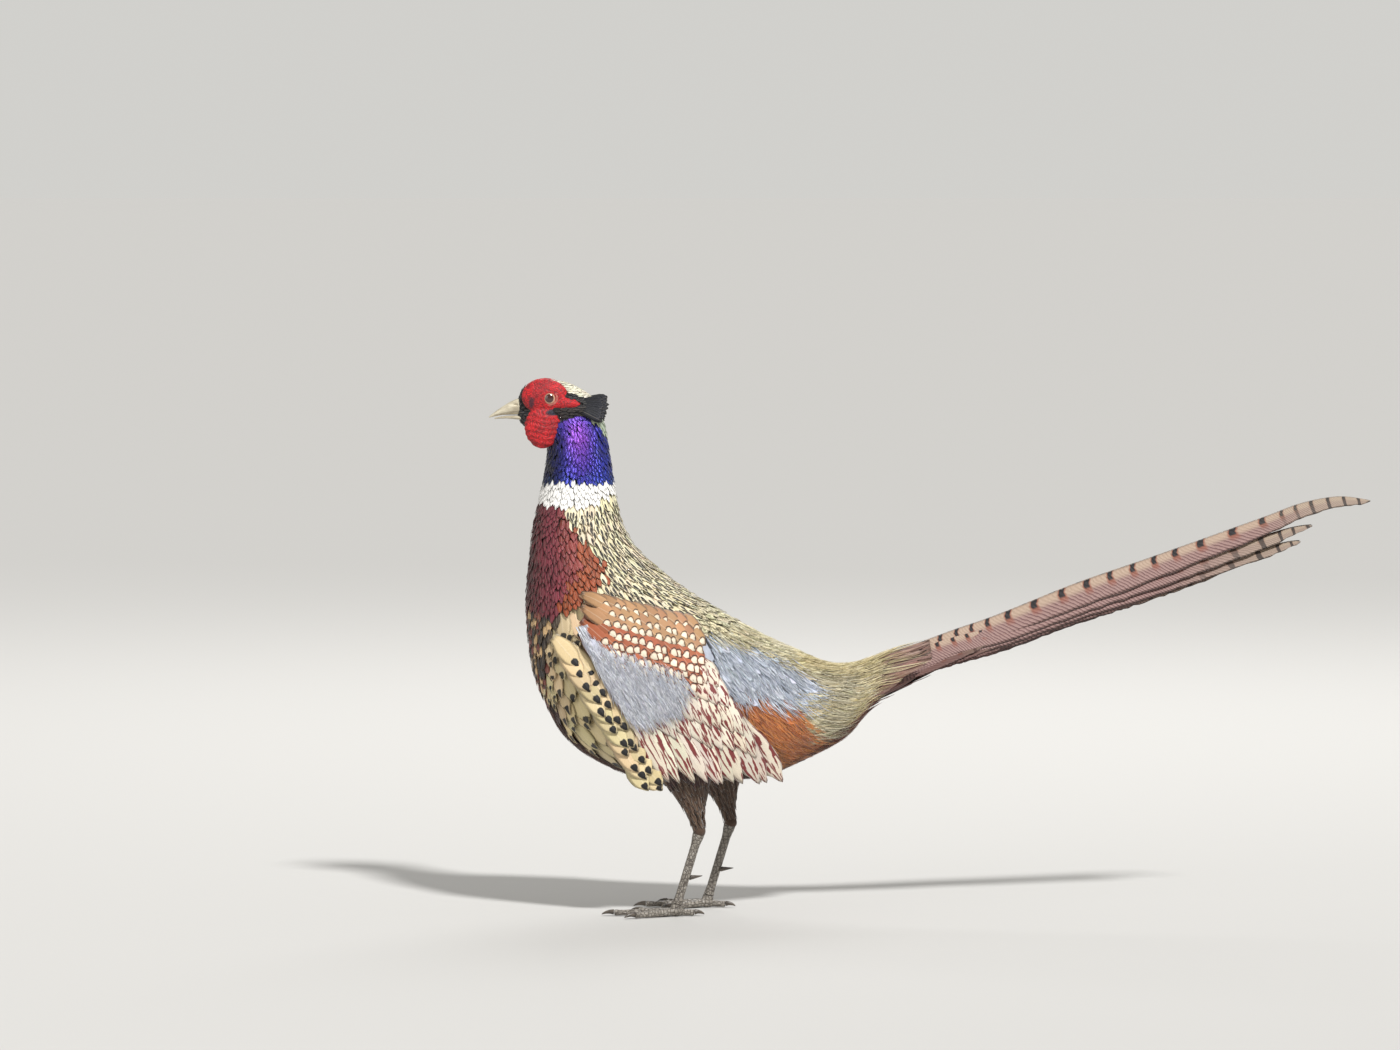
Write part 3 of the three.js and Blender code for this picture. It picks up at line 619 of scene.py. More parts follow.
def isFree(place, way, gap, share, cells, key):
    # no earlier root stands closer than the gap, with the run along the lie shortened by its share
    for x in (key[0] - 1, key[0], key[0] + 1):
        for y in (key[1] - 1, key[1], key[1] + 1):
            for z in (key[2] - 1, key[2], key[2] + 1):
                for other in cells.get((x, y, z), ()):
                    gapX, gapY, gapZ = place[0] - other[0], place[1] - other[1], place[2] - other[2]
                    run = gapX * way[0] + gapY * way[1] + gapZ * way[2]
                    if gapX * gapX + gapY * gapY + gapZ * gapZ - share * run * run < gap * gap:
                        return False
    return True


def scatter(surface, firstRange, spacing, tries, keep=None, squeeze=None):
    # roots spread evenly around a surface, no two closer than the spacing of their field, which is
    # longer along the lie where the feathers are squeezed
    first = draw.uniform(*firstRange, tries)
    second = draw.uniform(0, 2 * np.pi, tries)
    da, db, _ = framesOn(surface, first, second)
    area = np.linalg.norm(np.cross(da, db), axis=-1)
    taken = draw.random(tries) < area / np.percentile(area, 99)
    first, second = first[taken], second[taken]
    places = surface(first, second)
    near = spacing(first, second, places)
    if keep is not None:
        kept = keep(first, second, places)
        first, second, places, near = first[kept], second[kept], places[kept], near[kept]
    way, _, _ = framesOn(surface, first, second)
    narrow = np.ones(len(first)) if squeeze is None else squeeze(first, second, places)
    cell = float((near / narrow).max())
    cells = {}
    chosen = []
    roots = zip(places.tolist(), unit(way).tolist(), near.tolist(), (1 - narrow**2).tolist())
    for i, (place, lie, gap, share) in enumerate(roots):
        key = (int(place[0] // cell), int(place[1] // cell), int(place[2] // cell))
        if isFree(place, lie, gap, share, cells, key):
            cells.setdefault(key, []).append(place)
            chosen.append(i)
    return first[chosen], second[chosen], places[chosen]


# Materials


def nodeMaker(tree):
    def make(kind, inputs=None, **settings):
        node = tree.nodes.new(kind)
        for key, value in settings.items():
            setattr(node, key, value)
        for key, value in (inputs or {}).items():
            if isinstance(value, bpy.types.NodeSocket):
                tree.links.new(value, node.inputs[key])
            else:
                node.inputs[key].default_value = value
        return node

    def sums(operation, a, b=0.0, c=0.0):
        return make("ShaderNodeMath", {0: a, 1: b, 2: c}, operation=operation).outputs[0]

    def rest(value):
        return sums("SUBTRACT", 1, value)

    def fade(value, low, high):
        inputs = {"Value": value, "From Min": low, "From Max": high}
        return make("ShaderNodeMapRange", inputs, interpolation_type="SMOOTHSTEP").outputs["Result"]

    def blend(share, a, b):
        # a plain colour is given as red, green and blue
        a, b = ((*value, 1) if isinstance(value, tuple) else value for value in (a, b))
        return make("ShaderNodeMix", {0: share, 6: a, 7: b}, data_type="RGBA").outputs[2]

    return make, sums, rest, fade, blend


def placeOf(make):
    return make("ShaderNodeTexCoord").outputs["Object"]


def grainOf(make, scale, detail, output="Fac"):
    inputs = {"Vector": placeOf(make), "Scale": scale, "Detail": detail}
    return make("ShaderNodeTexNoise", inputs).outputs[output]


def vaneOf(make):
    parts = make("ShaderNodeSeparateXYZ", {0: make("ShaderNodeUVMap", uv_map="vane").outputs[0]})
    return parts.outputs[0], parts.outputs[1]


def colourOf(make, name):
    return make("ShaderNodeAttribute", attribute_name=name).outputs["Color"]


def factsOf(make, name):
    node = make("ShaderNodeAttribute", attribute_name=name)
    split = make("ShaderNodeSeparateColor", {0: node.outputs["Color"]})
    return split.outputs[0], split.outputs[1], split.outputs[2], node.outputs["Alpha"]


def nodeGroup(name, inputs, outputs):
    group = bpy.data.node_groups.new(name, "ShaderNodeTree")
    kinds = {"value": "NodeSocketFloat", "colour": "NodeSocketColor"}
    for key, (kind, value) in inputs.items():
        socket = group.interface.new_socket(key, in_out="INPUT", socket_type=kinds[kind])
        socket.default_value = value
    for key, kind in outputs.items():
        group.interface.new_socket(key, in_out="OUTPUT", socket_type=kinds[kind])
    return group, group.nodes.new("NodeGroupInput"), group.nodes.new("NodeGroupOutput")


def barbGroup():
    # fine slanting barbs on a vane, as painted shade between the barbs and a height
    inputs = {"count": ("value", 26), "slant": ("value", 7)}
    group, given, made = nodeGroup("vaneBarbs", inputs, {"shade": "value", "height": "value"})
    make, sums, rest, fade, _ = nodeMaker(group)
    side, along = vaneOf(make)
    across = sums("ABSOLUTE", sums("MULTIPLY_ADD", side, 2, -1))
    run = sums("MULTIPLY", along, given.outputs["count"])
    run = sums("SUBTRACT", run, sums("MULTIPLY", across, given.outputs["slant"]))
    run = sums("ADD", run, sums("MULTIPLY", grainOf(make, 420, 2), 2.4))
    wave = sums("SINE", sums("MULTIPLY", run, 2 * math.pi))
    shaft = sums("MULTIPLY", rest(fade(across, 0.02, 0.10)), 0.9)
    height = sums("ADD", sums("MULTIPLY_ADD", wave, 0.3, 0.5), shaft)
    group.links.new(sums("MULTIPLY_ADD", wave, 0.5, 0.5), made.inputs["shade"])
    group.links.new(height, made.inputs["height"])
    return group


def markingGroup():
    # the markings of one feather from its own map and from what the plumage table gives it
    group, given, made = nodeGroup("featherMarks", {"wander": ("value", 0.1)}, {"colour": "colour"})
    make, sums, rest, fade, blend = nodeMaker(group)
    side, run = vaneOf(make)
    stray = sums("MULTIPLY", sums("SUBTRACT", grainOf(make, 260, 3), 0.5), given.outputs["wander"])
    along = sums("ADD", run, stray)
    across = sums("ADD", sums("MULTIPLY_ADD", side, 2, -1), stray)
    wide = sums("ABSOLUTE", across)
    spotPower, edgePower, ringPower, streakPower = factsOf(make, "plumeMarks")
    heartPower, barPower, _, chance = factsOf(make, "plumeMore")
    base, heartAndHighlight, mark = (colourOf(make, name) for name in ("plumeBase", "plumeHeartAndHighlight", "plumeMark"))

    def oval(at, halfAcross, halfAlong, shift=0.0):
        a = sums("DIVIDE", sums("ADD", across, shift), halfAcross)
        b = sums("DIVIDE", sums("SUBTRACT", along, at), halfAlong)
        return sums("SQRT", sums("ADD", sums("MULTIPLY", a, a), sums("MULTIPLY", b, b)))

    def over(colour, mask, power, added=mark):
        return blend(sums("MULTIPLY", mask, power), colour, added)

    heartOval = oval(0.86, 0.54, 0.092)
    colour = over(base, rest(fade(heartOval, 0.7, 1.15)), heartPower, heartAndHighlight)
    waves = {"Vector": placeOf(make), "Scale": 120, "Distortion": 12, "Detail": 2, "Detail Scale": 1.6}
    bars = make("ShaderNodeTexWave", waves, bands_direction="DIAGONAL").outputs["Fac"]
    colour = over(colour, fade(bars, 0.45, 0.7), sums("MULTIPLY", barPower, 0.75))
    fromRing = sums("ABSOLUTE", sums("SUBTRACT", heartOval, 1.18))
    colour = over(colour, rest(fade(fromRing, 0.09, 0.2)), ringPower)
    rim = sums("MINIMUM", rest(wide), sums("MULTIPLY", rest(along), 1.7))
    colour = over(colour, rest(fade(rim, 0.10, 0.26)), edgePower)
    shift = sums("MULTIPLY", sums("SUBTRACT", chance, 0.5), 0.7)
    streak = rest(fade(oval(0.74, 0.42, 0.27, shift), 0.8, 1.05))
    # a streak above one breaks into long stripes
    stretched = make("ShaderNodeCombineXYZ", {
        0: sums("MULTIPLY", across, 3.0), 1: sums("MULTIPLY", along, 3.2), 2: sums("MULTIPLY", chance, 40),
    }).outputs[0]
    stripes = make("ShaderNodeTexNoise", {"Vector": stretched, "Scale": 1.3, "Detail": 1.5}).outputs["Fac"]
    streak = blend(fade(streakPower, 1.1, 1.6), streak, fade(stripes, 0.52, 0.57))
    colour = over(colour, streak, sums("MINIMUM", streakPower, 1))
    colour = over(colour, rest(fade(wide, 0.03, 0.09)), 0.18, (0.85, 0.75, 0.6))
    colour = over(colour, rest(fade(oval(0.845, 0.50, 0.12), 0.85, 1.05)), spotPower)
    group.links.new(colour, made.inputs["colour"])
    return group


barbs = barbGroup()
marks = markingGroup()


def startMaterial(name, **values):
    material = bpy.data.materials.new(name)
    material.use_nodes = True
    tree = material.node_tree
    shader = tree.nodes["Principled BSDF"]
    for key, value in values.items():
        shader.inputs[key.replace("_", " ")].default_value = value
    return material, tree, shader


def addBump(tree, shader, height, strength, distance):
    bump = tree.nodes.new("ShaderNodeBump")
    bump.inputs["Strength"].default_value = strength
    bump.inputs["Distance"].default_value = distance
    tree.links.new(height, bump.inputs["Height"])
    tree.links.new(bump.outputs[0], shader.inputs["Normal"])


def sheen(weight):
    return {"Sheen_Weight": weight, "Sheen_Roughness": 0.4}


def featherNodes(name, count, dark, bump, wander=0.12, **values):
    material, tree, shader = startMaterial(name, **values)
    make, sums, _, _, blend = nodeMaker(tree)
    pattern = make("ShaderNodeGroup", node_tree=marks)
    pattern.inputs["wander"].default_value = wander
    fine = make("ShaderNodeGroup", node_tree=barbs)
    fine.inputs["count"].default_value = count
    fine.inputs["slant"].default_value = 7
    # the colour is darkened towards black between the barbs, painted shade as deep as the dark share
    shade = sums("MULTIPLY", fine.outputs["shade"], dark)
    colour = blend(shade, pattern.outputs["colour"], (0, 0, 0))
    tree.links.new(colour, shader.inputs["Base Color"])
    addBump(tree, shader, fine.outputs["height"], bump, 0.0004)
    return material, tree, shader, colour


def featherMaterial(*shape, **values):
    return featherNodes(*shape, **values)[0]


def glossyMaterial():
    # a glossy vane is painted with its second colour as a highlight where it faces the camera, and shows its
    # first where it turns away
    material, tree, shader, colour = featherNodes("glossyFeathers", 18, 0.16, 0.3, Sheen_Weight=0.1)
    make, sums, rest, fade, blend = nodeMaker(tree)
    facing = make("ShaderNodeLayerWeight", {"Blend": 0.4}).outputs["Facing"]
    gloss = factsOf(make, "plumeMore")[2]
    turned = sums("ADD", facing, sums("MULTIPLY_ADD", grainOf(make, 170, 1), 1.6, -0.8))
    paintedHighlight = sums("MULTIPLY", rest(fade(turned, 0.05, 0.7)), sums("MULTIPLY", gloss, 0.8))
    tree.links.new(blend(paintedHighlight, colour, colourOf(make, "plumeHeartAndHighlight")), shader.inputs["Base Color"])
    tree.links.new(sums("MULTIPLY", gloss, 0.5), shader.inputs["Metallic"])
    tree.links.new(sums("MULTIPLY_ADD", gloss, -0.24, 0.58), shader.inputs["Roughness"])
    return material


def skinMaterial():
    material, tree, shader = startMaterial("downySkin", Roughness=0.85, Sheen_Weight=0.2)
    make, sums, _, _, blend = nodeMaker(tree)
    grain = grainOf(make, 300, 4)
    # the field's colour is darkened at random towards near black, painted shade for the gaps between the
    # feathers
    colour = blend(sums("MULTIPLY_ADD", grain, 0.4, 0.02), colourOf(make, "plumeBase"), (0.02, 0.015, 0.012))
    tree.links.new(colour, shader.inputs["Base Color"])
    addBump(tree, shader, grain, 0.6, 0.001)
    return material


def faceMaterial():
    material, tree, shader = startMaterial(
        "redFaceSkin", Roughness=0.6, Sheen_Weight=0.06, Subsurface_Weight=0.08, Subsurface_Scale=0.002
    )
    make, sums, rest, fade, blend = nodeMaker(tree)
    shape = grainOf(make, 120, 2, "Color")
    moved = make("ShaderNodeMix", {0: 0.012, 4: placeOf(make), 5: shape}, data_type="VECTOR").outputs[1]
    cells = make("ShaderNodeTexVoronoi", {"Vector": moved, "Scale": 620}).outputs["Distance"]
    colour = blend(fade(grainOf(make, 90, 2), 0.35, 0.7), (0.60, 0.007, 0.012), (0.34, 0.003, 0.008))
    # painted shade darkens the crevices between the papillae
    colour = blend(sums("MULTIPLY", fade(cells, 0.35, 0.75), 0.75), colour, (0.12, 0.002, 0.004))
    # the skin's dark patch under the eye, and painted shade in the fold in front of the eye
    dark = make("ShaderNodeAttribute", attribute_name="faceDarkAndFoldShade").outputs["Fac"]
    tree.links.new(blend(dark, colour, (0.012, 0.010, 0.022)), shader.inputs["Base Color"])
    addBump(tree, shader, rest(cells), 0.8, 0.0006)
    return material


eye = {
    "centre": (-303.7, 10.6, 412.5),
    "radius": 6.6,
    "pupil": 3.5,
    "iris": 5.0,
    "lid": 5.75,
    "lidThick": 0.95,
    "lidOut": 14.6,  # y of the lid's middle
}


def eyeMaterial():
    material, tree, shader = startMaterial("eyeball", Roughness=0.12, Coat_Weight=1.0, Coat_Roughness=0.02)
    make, sums, _, fade, blend = nodeMaker(tree)
    parts = make("ShaderNodeSeparateXYZ", {0: placeOf(make)})
    a = sums("SUBTRACT", parts.outputs[0], eye["centre"][0] * mm)
    b = sums("SUBTRACT", parts.outputs[2], eye["centre"][2] * mm)
    away = sums("SQRT", sums("ADD", sums("MULTIPLY", a, a), sums("MULTIPLY", b, b)))

    def beyond(radius, inner, outer):
        return fade(away, (radius - inner) * mm, (radius + outer) * mm)

    spokes = make("ShaderNodeTexNoise", {"Scale": 900, "Detail": 3}).outputs["Fac"]
    iris = blend(fade(spokes, 0.3, 0.7), (0.42, 0.20, 0.12), (0.62, 0.36, 0.24))
    colour = blend(beyond(eye["pupil"], 0.25, 0.1), (0.045, 0.008, 0.006), iris)
    colour = blend(beyond(eye["iris"], 0.2, 0.2), colour, (0.02, 0.012, 0.01))
    tree.links.new(colour, shader.inputs["Base Color"])
    return material


def grainMaterial(name, light, dark, scale, bump, roughness):
    material, tree, shader = startMaterial(name, Roughness=roughness)
    make, _, _, fade, blend = nodeMaker(tree)
    stretched = make("ShaderNodeMapping", {"Vector": placeOf(make), "Scale": (0.35, 1, 1)}).outputs[0]
    grain = make("ShaderNodeTexNoise", {"Vector": stretched, "Scale": scale, "Detail": 4}).outputs["Fac"]
    tree.links.new(blend(fade(grain, 0.3, 0.72), light, dark), shader.inputs["Base Color"])
    addBump(tree, shader, grain, bump, 0.0004)
    return material


def scaleMaterial():
    # horny plates with dark seams
    material, tree, shader = startMaterial("legScales", Roughness=0.42)
    make, _, rest, fade, blend = nodeMaker(tree)
    plates = {"Vector": placeOf(make), "Scale": 330, "Randomness": 0.75}
    seam = make("ShaderNodeTexVoronoi", plates, feature="DISTANCE_TO_EDGE").outputs["Distance"]
    colour = blend(fade(grainOf(make, 420, 4), 0.3, 0.72), (0.30, 0.27, 0.23), (0.17, 0.15, 0.125))
    colour = blend(rest(fade(seam, 0.02, 0.10)), colour, (0.07, 0.058, 0.048))
    tree.links.new(colour, shader.inputs["Base Color"])
    addBump(tree, shader, fade(seam, 0.0, 0.22), 0.8, 0.0006)
    return material


def tailMaterial():
    # bars on the upper strip that turn rusty and fade into the mauve fringe
    material, tree, shader = startMaterial("tailFeathers", Roughness=0.6, **sheen(0.25))
    make, sums, rest, fade, blend = nodeMaker(tree)
    across, along = vaneOf(make)
    length, pair, phase, _ = factsOf(make, "tailFacts")
    grain = grainOf(make, 240, 3)
    metres = sums("MULTIPLY", along, length)
    # bars stand closer at the root: 14 mm apart there and 21 mm near the tip
    count = sums("MULTIPLY", sums("LOGARITHM", sums("MULTIPLY_ADD", metres, 1.35, 1), math.e), 54)
    count = sums("ADD", count, sums("ADD", phase, sums("MULTIPLY", across, -0.12)))
    wave = sums("FRACT", sums("ADD", count, sums("MULTIPLY_ADD", grain, 0.1, -0.05)))
    near = sums("ABSOLUTE", sums("SUBTRACT", wave, 0.5))
    bar = rest(fade(near, 0.085, 0.12))
    broadBar = rest(fade(near, 0.10, 0.20))
    slant = sums("MULTIPLY_ADD", metres, 2200, sums("MULTIPLY", across, -34))
    lines = sums("SINE", sums("ADD", slant, sums("MULTIPLY", grain, 5)))
    mauve = blend(fade(lines, 0.1, 0.95), (0.30, 0.185, 0.165), (0.13, 0.06, 0.058))
    colour = blend(fade(across, 0.30, 0.55), (0.40, 0.29, 0.215), mauve)
    rust = sums("MULTIPLY", broadBar, sums("SUBTRACT", 0.85, fade(across, 0.36, 0.80)))
    colour = blend(rust, colour, (0.22, 0.05, 0.022))
    colour = blend(sums("MULTIPLY", bar, rest(fade(across, 0.34, 0.44))), colour, (0.010, 0.008, 0.009))
    # towards the tip the bars cross the whole vane and the ground turns to grey buff
    far = fade(along, 0.62, 0.85)
    colour = blend(sums("MULTIPLY", far, 0.6), colour, (0.33, 0.27, 0.20))
    colour = blend(sums("MULTIPLY", sums("MULTIPLY", bar, far), 0.85), colour, (0.014, 0.010, 0.010))
    lower = sums("MULTIPLY", fade(across, 0.84, 0.97), sums("MULTIPLY_ADD", fade(pair, 0.0, 0.5), 0.7, 0.2))
    colour = blend(lower, colour, (0.035, 0.015, 0.014))
    colour = blend(sums("MULTIPLY", fade(pair, 0.2, 0.8), 0.6), colour, (0.08, 0.028, 0.02))
    tree.links.new(colour, shader.inputs["Base Color"])
    addBump(tree, shader, lines, 0.35, 0.0004)
    return material


finish = {
    # after each name come the barbs' count, how deep their painted shade goes, the bump and, for the wings,
    # how far the markings wander
    "coat": featherMaterial("bodyFeathers", 20, 0.16, 0.3, Roughness=0.55, **sheen(0.15)),
    "gloss": glossyMaterial(),
    "wing": featherMaterial("wingFeathers", 34, 0.16, 0.4, 0.1, Roughness=0.6, **sheen(0.15)),
    "hair": featherMaterial("looseFeathers", 4, 0.1, 0.1, Roughness=0.62, **sheen(0.3)),
    "tail": tailMaterial(),
    "skin": skinMaterial(),
    "face": faceMaterial(),
    "eye": eyeMaterial(),
    "lid": grainMaterial("eyeLid", (0.50, 0.16, 0.12), (0.30, 0.05, 0.045), 900, 0.4, 0.5),
    "bill": grainMaterial("ivoryBill", (0.62, 0.56, 0.42), (0.36, 0.31, 0.22), 260, 0.15, 0.36),
    "claw": grainMaterial("darkHorn", (0.10, 0.08, 0.06), (0.035, 0.028, 0.024), 500, 0.2, 0.35),
    "leg": scaleMaterial(),
}
print("materials made")


# Skin under the coat

skin = {
    "voxel": 2.0,
    "rounds": 4,
    # first and last ring along the form, how many rings, and how many points around
    "hock": (0.04, 0.96, 12, 20),
    "trunk": (0, 14.6, 90, 64),
    "skull": (0.25, 7.7, 30, 40),
    "thigh": (0, 1, 17, 28),
    "depth": {"trunk": 2.6, "skull": 0.9, "thigh": 1.2},  # how far it lies inside the coat
    "headFrom": 388,  # heights over which it is head skin and under which it is leg skin
    "legTo": 104,
    "foreheadTo": -300,
}
leg = {
    "feet": {"left": (-203, -33, 5), "right": (-178, 33, 5)},
    "footToHock": (19, 2, 63),
    "hockToBelly": (-16, 3, 74),
    "hock": 5.6,  # radius of the ball that closes it
    "knee": (5, 4.6),  # the thigh's two radii at the hock, and how much they grow to the belly
    "swell": (24, 12),
}


def legPath(side):
    outward = np.array([1, sideSign[side], 1])
    hock = np.array(leg["feet"][side], float) + outward * leg["footToHock"]
    return hock, hock + outward * leg["hockToBelly"]


def thighSurface(side):
    hock, belly = legPath(side)
    share = np.linspace(0, 1, 7)
    path = hock + share[:, None] * (belly - hock)
    radii = np.array(leg["knee"]) + np.array(leg["swell"]) * smooth(0, 1, share)[:, None]
    return limbSurface(path, radii)


def hockBall(side):
    hock, _ = legPath(side)

    def surface(share, angle, grow=0.0):
        turn = np.pi * share
        size = leg["hock"] + grow
        ring = size * np.sin(turn)
        rise = -size * np.cos(turn) + 0 * angle
        return hock + np.stack([ring * np.cos(angle), ring * np.sin(angle), rise], -1)

    return surface


def tubeMesh(surface, span, grow=0):
    # a closed tube of rings over a surface, with a flat cap at each end
    first, last, count, around = span
    angle = np.linspace(0, 2 * np.pi, around, endpoint=False)
    steps = np.linspace(first, last, count)
    points = np.concatenate([surface(np.full(around, step), angle, grow) for step in steps])
    rings = np.arange(count * around).reshape(count, around)
    after = np.roll(rings, -1, 1)
    quads = np.stack([rings[:-1], rings[1:], after[1:], after[:-1]], -1).reshape(-1, 4)
    faces = quads.tolist() + [rings[0].tolist(), rings[-1][::-1].tolist()]
    return points, faces


def finishForm(piece, voxel, rounds):
    selectOnly(piece)
    remesh = piece.modifiers.new("evenSkin", "REMESH")
    remesh.mode = "VOXEL"
    remesh.voxel_size = voxel * mm
    even = piece.modifiers.new("relaxed", "SMOOTH")
    even.iterations = rounds
    even.factor = 0.5
    for modifier in ("evenSkin", "relaxed"):
        bpy.ops.object.modifier_apply(modifier=modifier)
    bpy.ops.object.shade_smooth()


def vertexTable(mesh, key):
    values = np.empty(3 * len(mesh.vertices))
    mesh.vertices.foreach_get(key, values)
    return values.reshape(-1, 3)


def skinZones(places):
    # the nearest station and angle of each place, then the same fields as the coat
    stations = np.linspace(0, 15, 301)
    back = splineAt(trunk["back"], stations)
    span = splineAt(trunk["front"], stations) - back
    zone = np.zeros(len(places), int)
    for start in range(0, len(places), 4000):
        some = places[start : start + 4000]
        flat = some[:, None, [0, 2]]
        share = np.clip(np.sum((flat - back) * span, -1) / np.sum(span * span, -1), 0, 1)
        away = np.linalg.norm(flat - (back + share[..., None] * span), axis=-1)
        best = np.argmin(away, 1)
        turn = 1 - 2 * share[np.arange(len(some)), best]
        angle = np.arccos(np.clip(turn, -1, 1))
        zone[start : start + 4000] = trunkZones(stations[best], angle, some)
    head = places[:, 2] > skin["headFrom"]
    zone[head] = zoneOf["ear"]
    zone[head & (places[:, 0] < skin["foreheadTo"])] = zoneOf["black"]
    legs = (places[:, 2] < skin["legTo"]) | (np.abs(places[:, 1]) < 1e-9)
    zone[legs] = zoneOf["thigh"]
    return zone


def makeSkin():
    forms = [tubeMesh(hockBall(side), skin["hock"]) for side in sideSign]
    forms.append(tubeMesh(trunkSurface, skin["trunk"], -skin["depth"]["trunk"]))
    forms.append(tubeMesh(skullSurface, skin["skull"], -skin["depth"]["skull"]))
    for side in sideSign:
        forms.append(tubeMesh(thighSurface(side), skin["thigh"], -skin["depth"]["thigh"]))
    parts = []
    for i, (points, faces) in enumerate(forms):
        mesh = bpy.data.meshes.new("skinForm%d" % i)
        mesh.from_pydata((points * mm).tolist(), [], faces)
        part = bpy.data.objects.new(mesh.name, mesh)
        scene.collection.objects.link(part)
        parts.append(part)
    piece = joined(parts, "body_skin")
    bpy.ops.object.mode_set(mode="EDIT")
    bpy.ops.mesh.select_all(action="SELECT")
    bpy.ops.mesh.normals_make_consistent(inside=False)
    bpy.ops.object.mode_set(mode="OBJECT")
    finishForm(piece, skin["voxel"], skin["rounds"])
    zone = skinZones(vertexTable(piece.data, "co") / mm)
    tones = np.hstack([baseTones[zone], np.ones((len(zone), 1))])
    layer = piece.data.color_attributes.new("plumeBase", "FLOAT_COLOR", "POINT")
    layer.data.foreach_set("color", tones.astype(np.float32).ravel())
    dress(piece, "skin", "body_plumage", "head", "neck", "torso", "rump", "thigh_left", "thigh_right")


makeSkin()


# Body coat

coat = {
    "neck": {"stations": (0.0, 4.0), "slot": "neck_plumage"},
    "torso": {"stations": (4.0, 10.0), "slot": "body_plumage"},
    "rump": {"stations": (10.0, 14.0), "slot": "rump_plumage"},
    "tries": 260000,
    "squeeze": 0.62,  # spacing across the lie against the spacing along it
    "squeezeFlank": 0.88,
    "hang": {  # which way the loose feathers of a field hang
        "powder": (0.24, 0, -0.97),
        "rust": (0.28, 0, -0.96),
        "rearFlank": (0.7, 0, -0.7),
        "tailCovert": (0.98, 0, 0.05),
    },
}
plumes = {
    "fields": ("powder", "rust", "rearFlank", "tailCovert", "back", "belly", "underTail"),
    "stations": (6.2, 12.3),
    "tries": 200000,
    "spacing": 1.75,
    "length": (0.8, 1.35),  # against the length of the field's feathers
    "breadth": (0.7, 1.3),
    "bend": 2.2,
    "root": -0.6,  # how high the root and the tip stand over the surface
    "tip": (0.4, 1.8),
}
trunkSpan = len(trunk["half"]) - 1


def underWing(places):
    # well inside the wing's outline, where no body feather shows
    reach = 9
    kept = np.ones(len(places), bool)
    for dx, dz in ((reach, 0), (-reach, 0), (0, reach), (0, -reach)):
        kept &= within(places[:, 0] + dx, places[:, 2] + dz, fields["wing"])
    return kept


def lieOn(zone, along):
    lie = unit(along)
    for name, way in coat["hang"].items():
        chosen = zone == zoneOf[name]
        lie[chosen] = unit(0.3 * lie[chosen] + 0.95 * unit(np.array([way], float)))
    return lie


def flankScale(zone, x):
    # the spotted feathers are small at the breast and large beside the wing
    return np.where(zone == zoneOf["flank"], 0.55 + 0.45 * smooth(-318, -284, x), 1)


def coatSpec(zone, jitter, scale=1):
    n = len(zone)
    vary = (1 + jitter * draw.standard_normal(n)).clip(0.7, 1.35) * scale
    length = sizes[zone, 0] * vary
    fine = smooth(6, 20, length)
    spotted = zone == zoneOf["flank"]
    return {
        "length": length,
        "breadth": sizes[zone, 1] * vary,
        "root": -0.9 - 1.5 * fine - 1.2 * spotted,
        "tip": 0.2 + 0.25 * fine + 0.2 * draw.standard_normal(n) + 1.1 * spotted,
    }


def trunkSqueeze(station, angle, places):
    flank = trunkZones(station, angle, places) == zoneOf["flank"]
    return np.where(flank, coat["squeezeFlank"], coat["squeeze"])


def trunkCoat():
    def spacing(station, angle, places):
        zone = trunkZones(station, angle, places)
        return sizes[zone, 2] * flankScale(zone, places[:, 0])

    def keep(station, angle, places):
        return ~underWing(places)

    def lengthAt(station, angle, places):
        return sizes[trunkZones(station, angle, places), :1]

    station, angle, places = scatter(trunkSurface, (0.02, 13.9), spacing, coat["tries"], keep, trunkSqueeze)
    along, _, _ = framesOn(trunkSurface, station, angle)
    # a feather takes the field where it shows, ahead of its root
    shown = places + unit(along) * 0.6 * lengthAt(station, angle, places)
    ahead = 0.6 * lengthAt(station, angle, places)[:, 0] / np.linalg.norm(along, axis=-1)
    zone = trunkZones(station + ahead, angle, shown, 1.6)
    lie = lieOn(zone, along)
    lie = unit(lie + 0.05 * draw.standard_normal(lie.shape))
    for name in ("neck", "torso", "rump"):
        low, high = coat[name]["stations"]
        chosen = (station >= low) & (station < high)
        first, second, here = station[chosen], angle[chosen], zone[chosen]
        spec = coatSpec(here, 0.08, flankScale(here, places[chosen, 0]))
        points, faceSets, uv = layVanes(trunkSurface, first, second, lie[chosen], spec)
        plumePiece(
            name + "_feathers", points, faceSets, (uv, surfacePatches(first, second, uv, trunkSpan)),
            coatColours(here, len(points) // len(here), first, second), "gloss", coat[name]["slot"],
        )
        print(name, len(here), "feathers")


def looseCoat():
    # hair-like feathers over the rump, the rear flank and the root of the tail
    def spacing(station, angle, places):
        return np.full(len(station), plumes["spacing"])

    def keep(station, angle, places):
        hairy = np.isin(trunkZones(station, angle, places), [zoneOf[name] for name in plumes["fields"]])
        return hairy & ~underWing(places)

    station, angle, places = scatter(trunkSurface, plumes["stations"], spacing, plumes["tries"], keep)
    zone = trunkZones(station, angle, places, 3)
    along, _, _ = framesOn(trunkSurface, station, angle)
    lie = lieOn(zone, along)
    lie = unit(lie + 0.10 * draw.standard_normal(lie.shape))
    n = len(zone)
    spec = {
        "length": sizes[zone, 0] * draw.uniform(*plumes["length"], n),
        "breadth": draw.uniform(*plumes["breadth"], n),
        "bend": draw.normal(0, plumes["bend"], n),
        "root": np.full(n, plumes["root"]),
        "tip": draw.uniform(*plumes["tip"], n),
    }
    points, faceSets, uv = layStrands(trunkSurface, station, angle, lie, spec)
    patches = surfacePatches(station, angle, uv, trunkSpan)
    colours = strandColours(zone)
    plumePiece("rump_plumes", points, faceSets, (uv, patches), colours, "hair", "rump_plumage")
    print("plumes", n)


trunkCoat()
looseCoat()
print("body coat laid")


# Wings

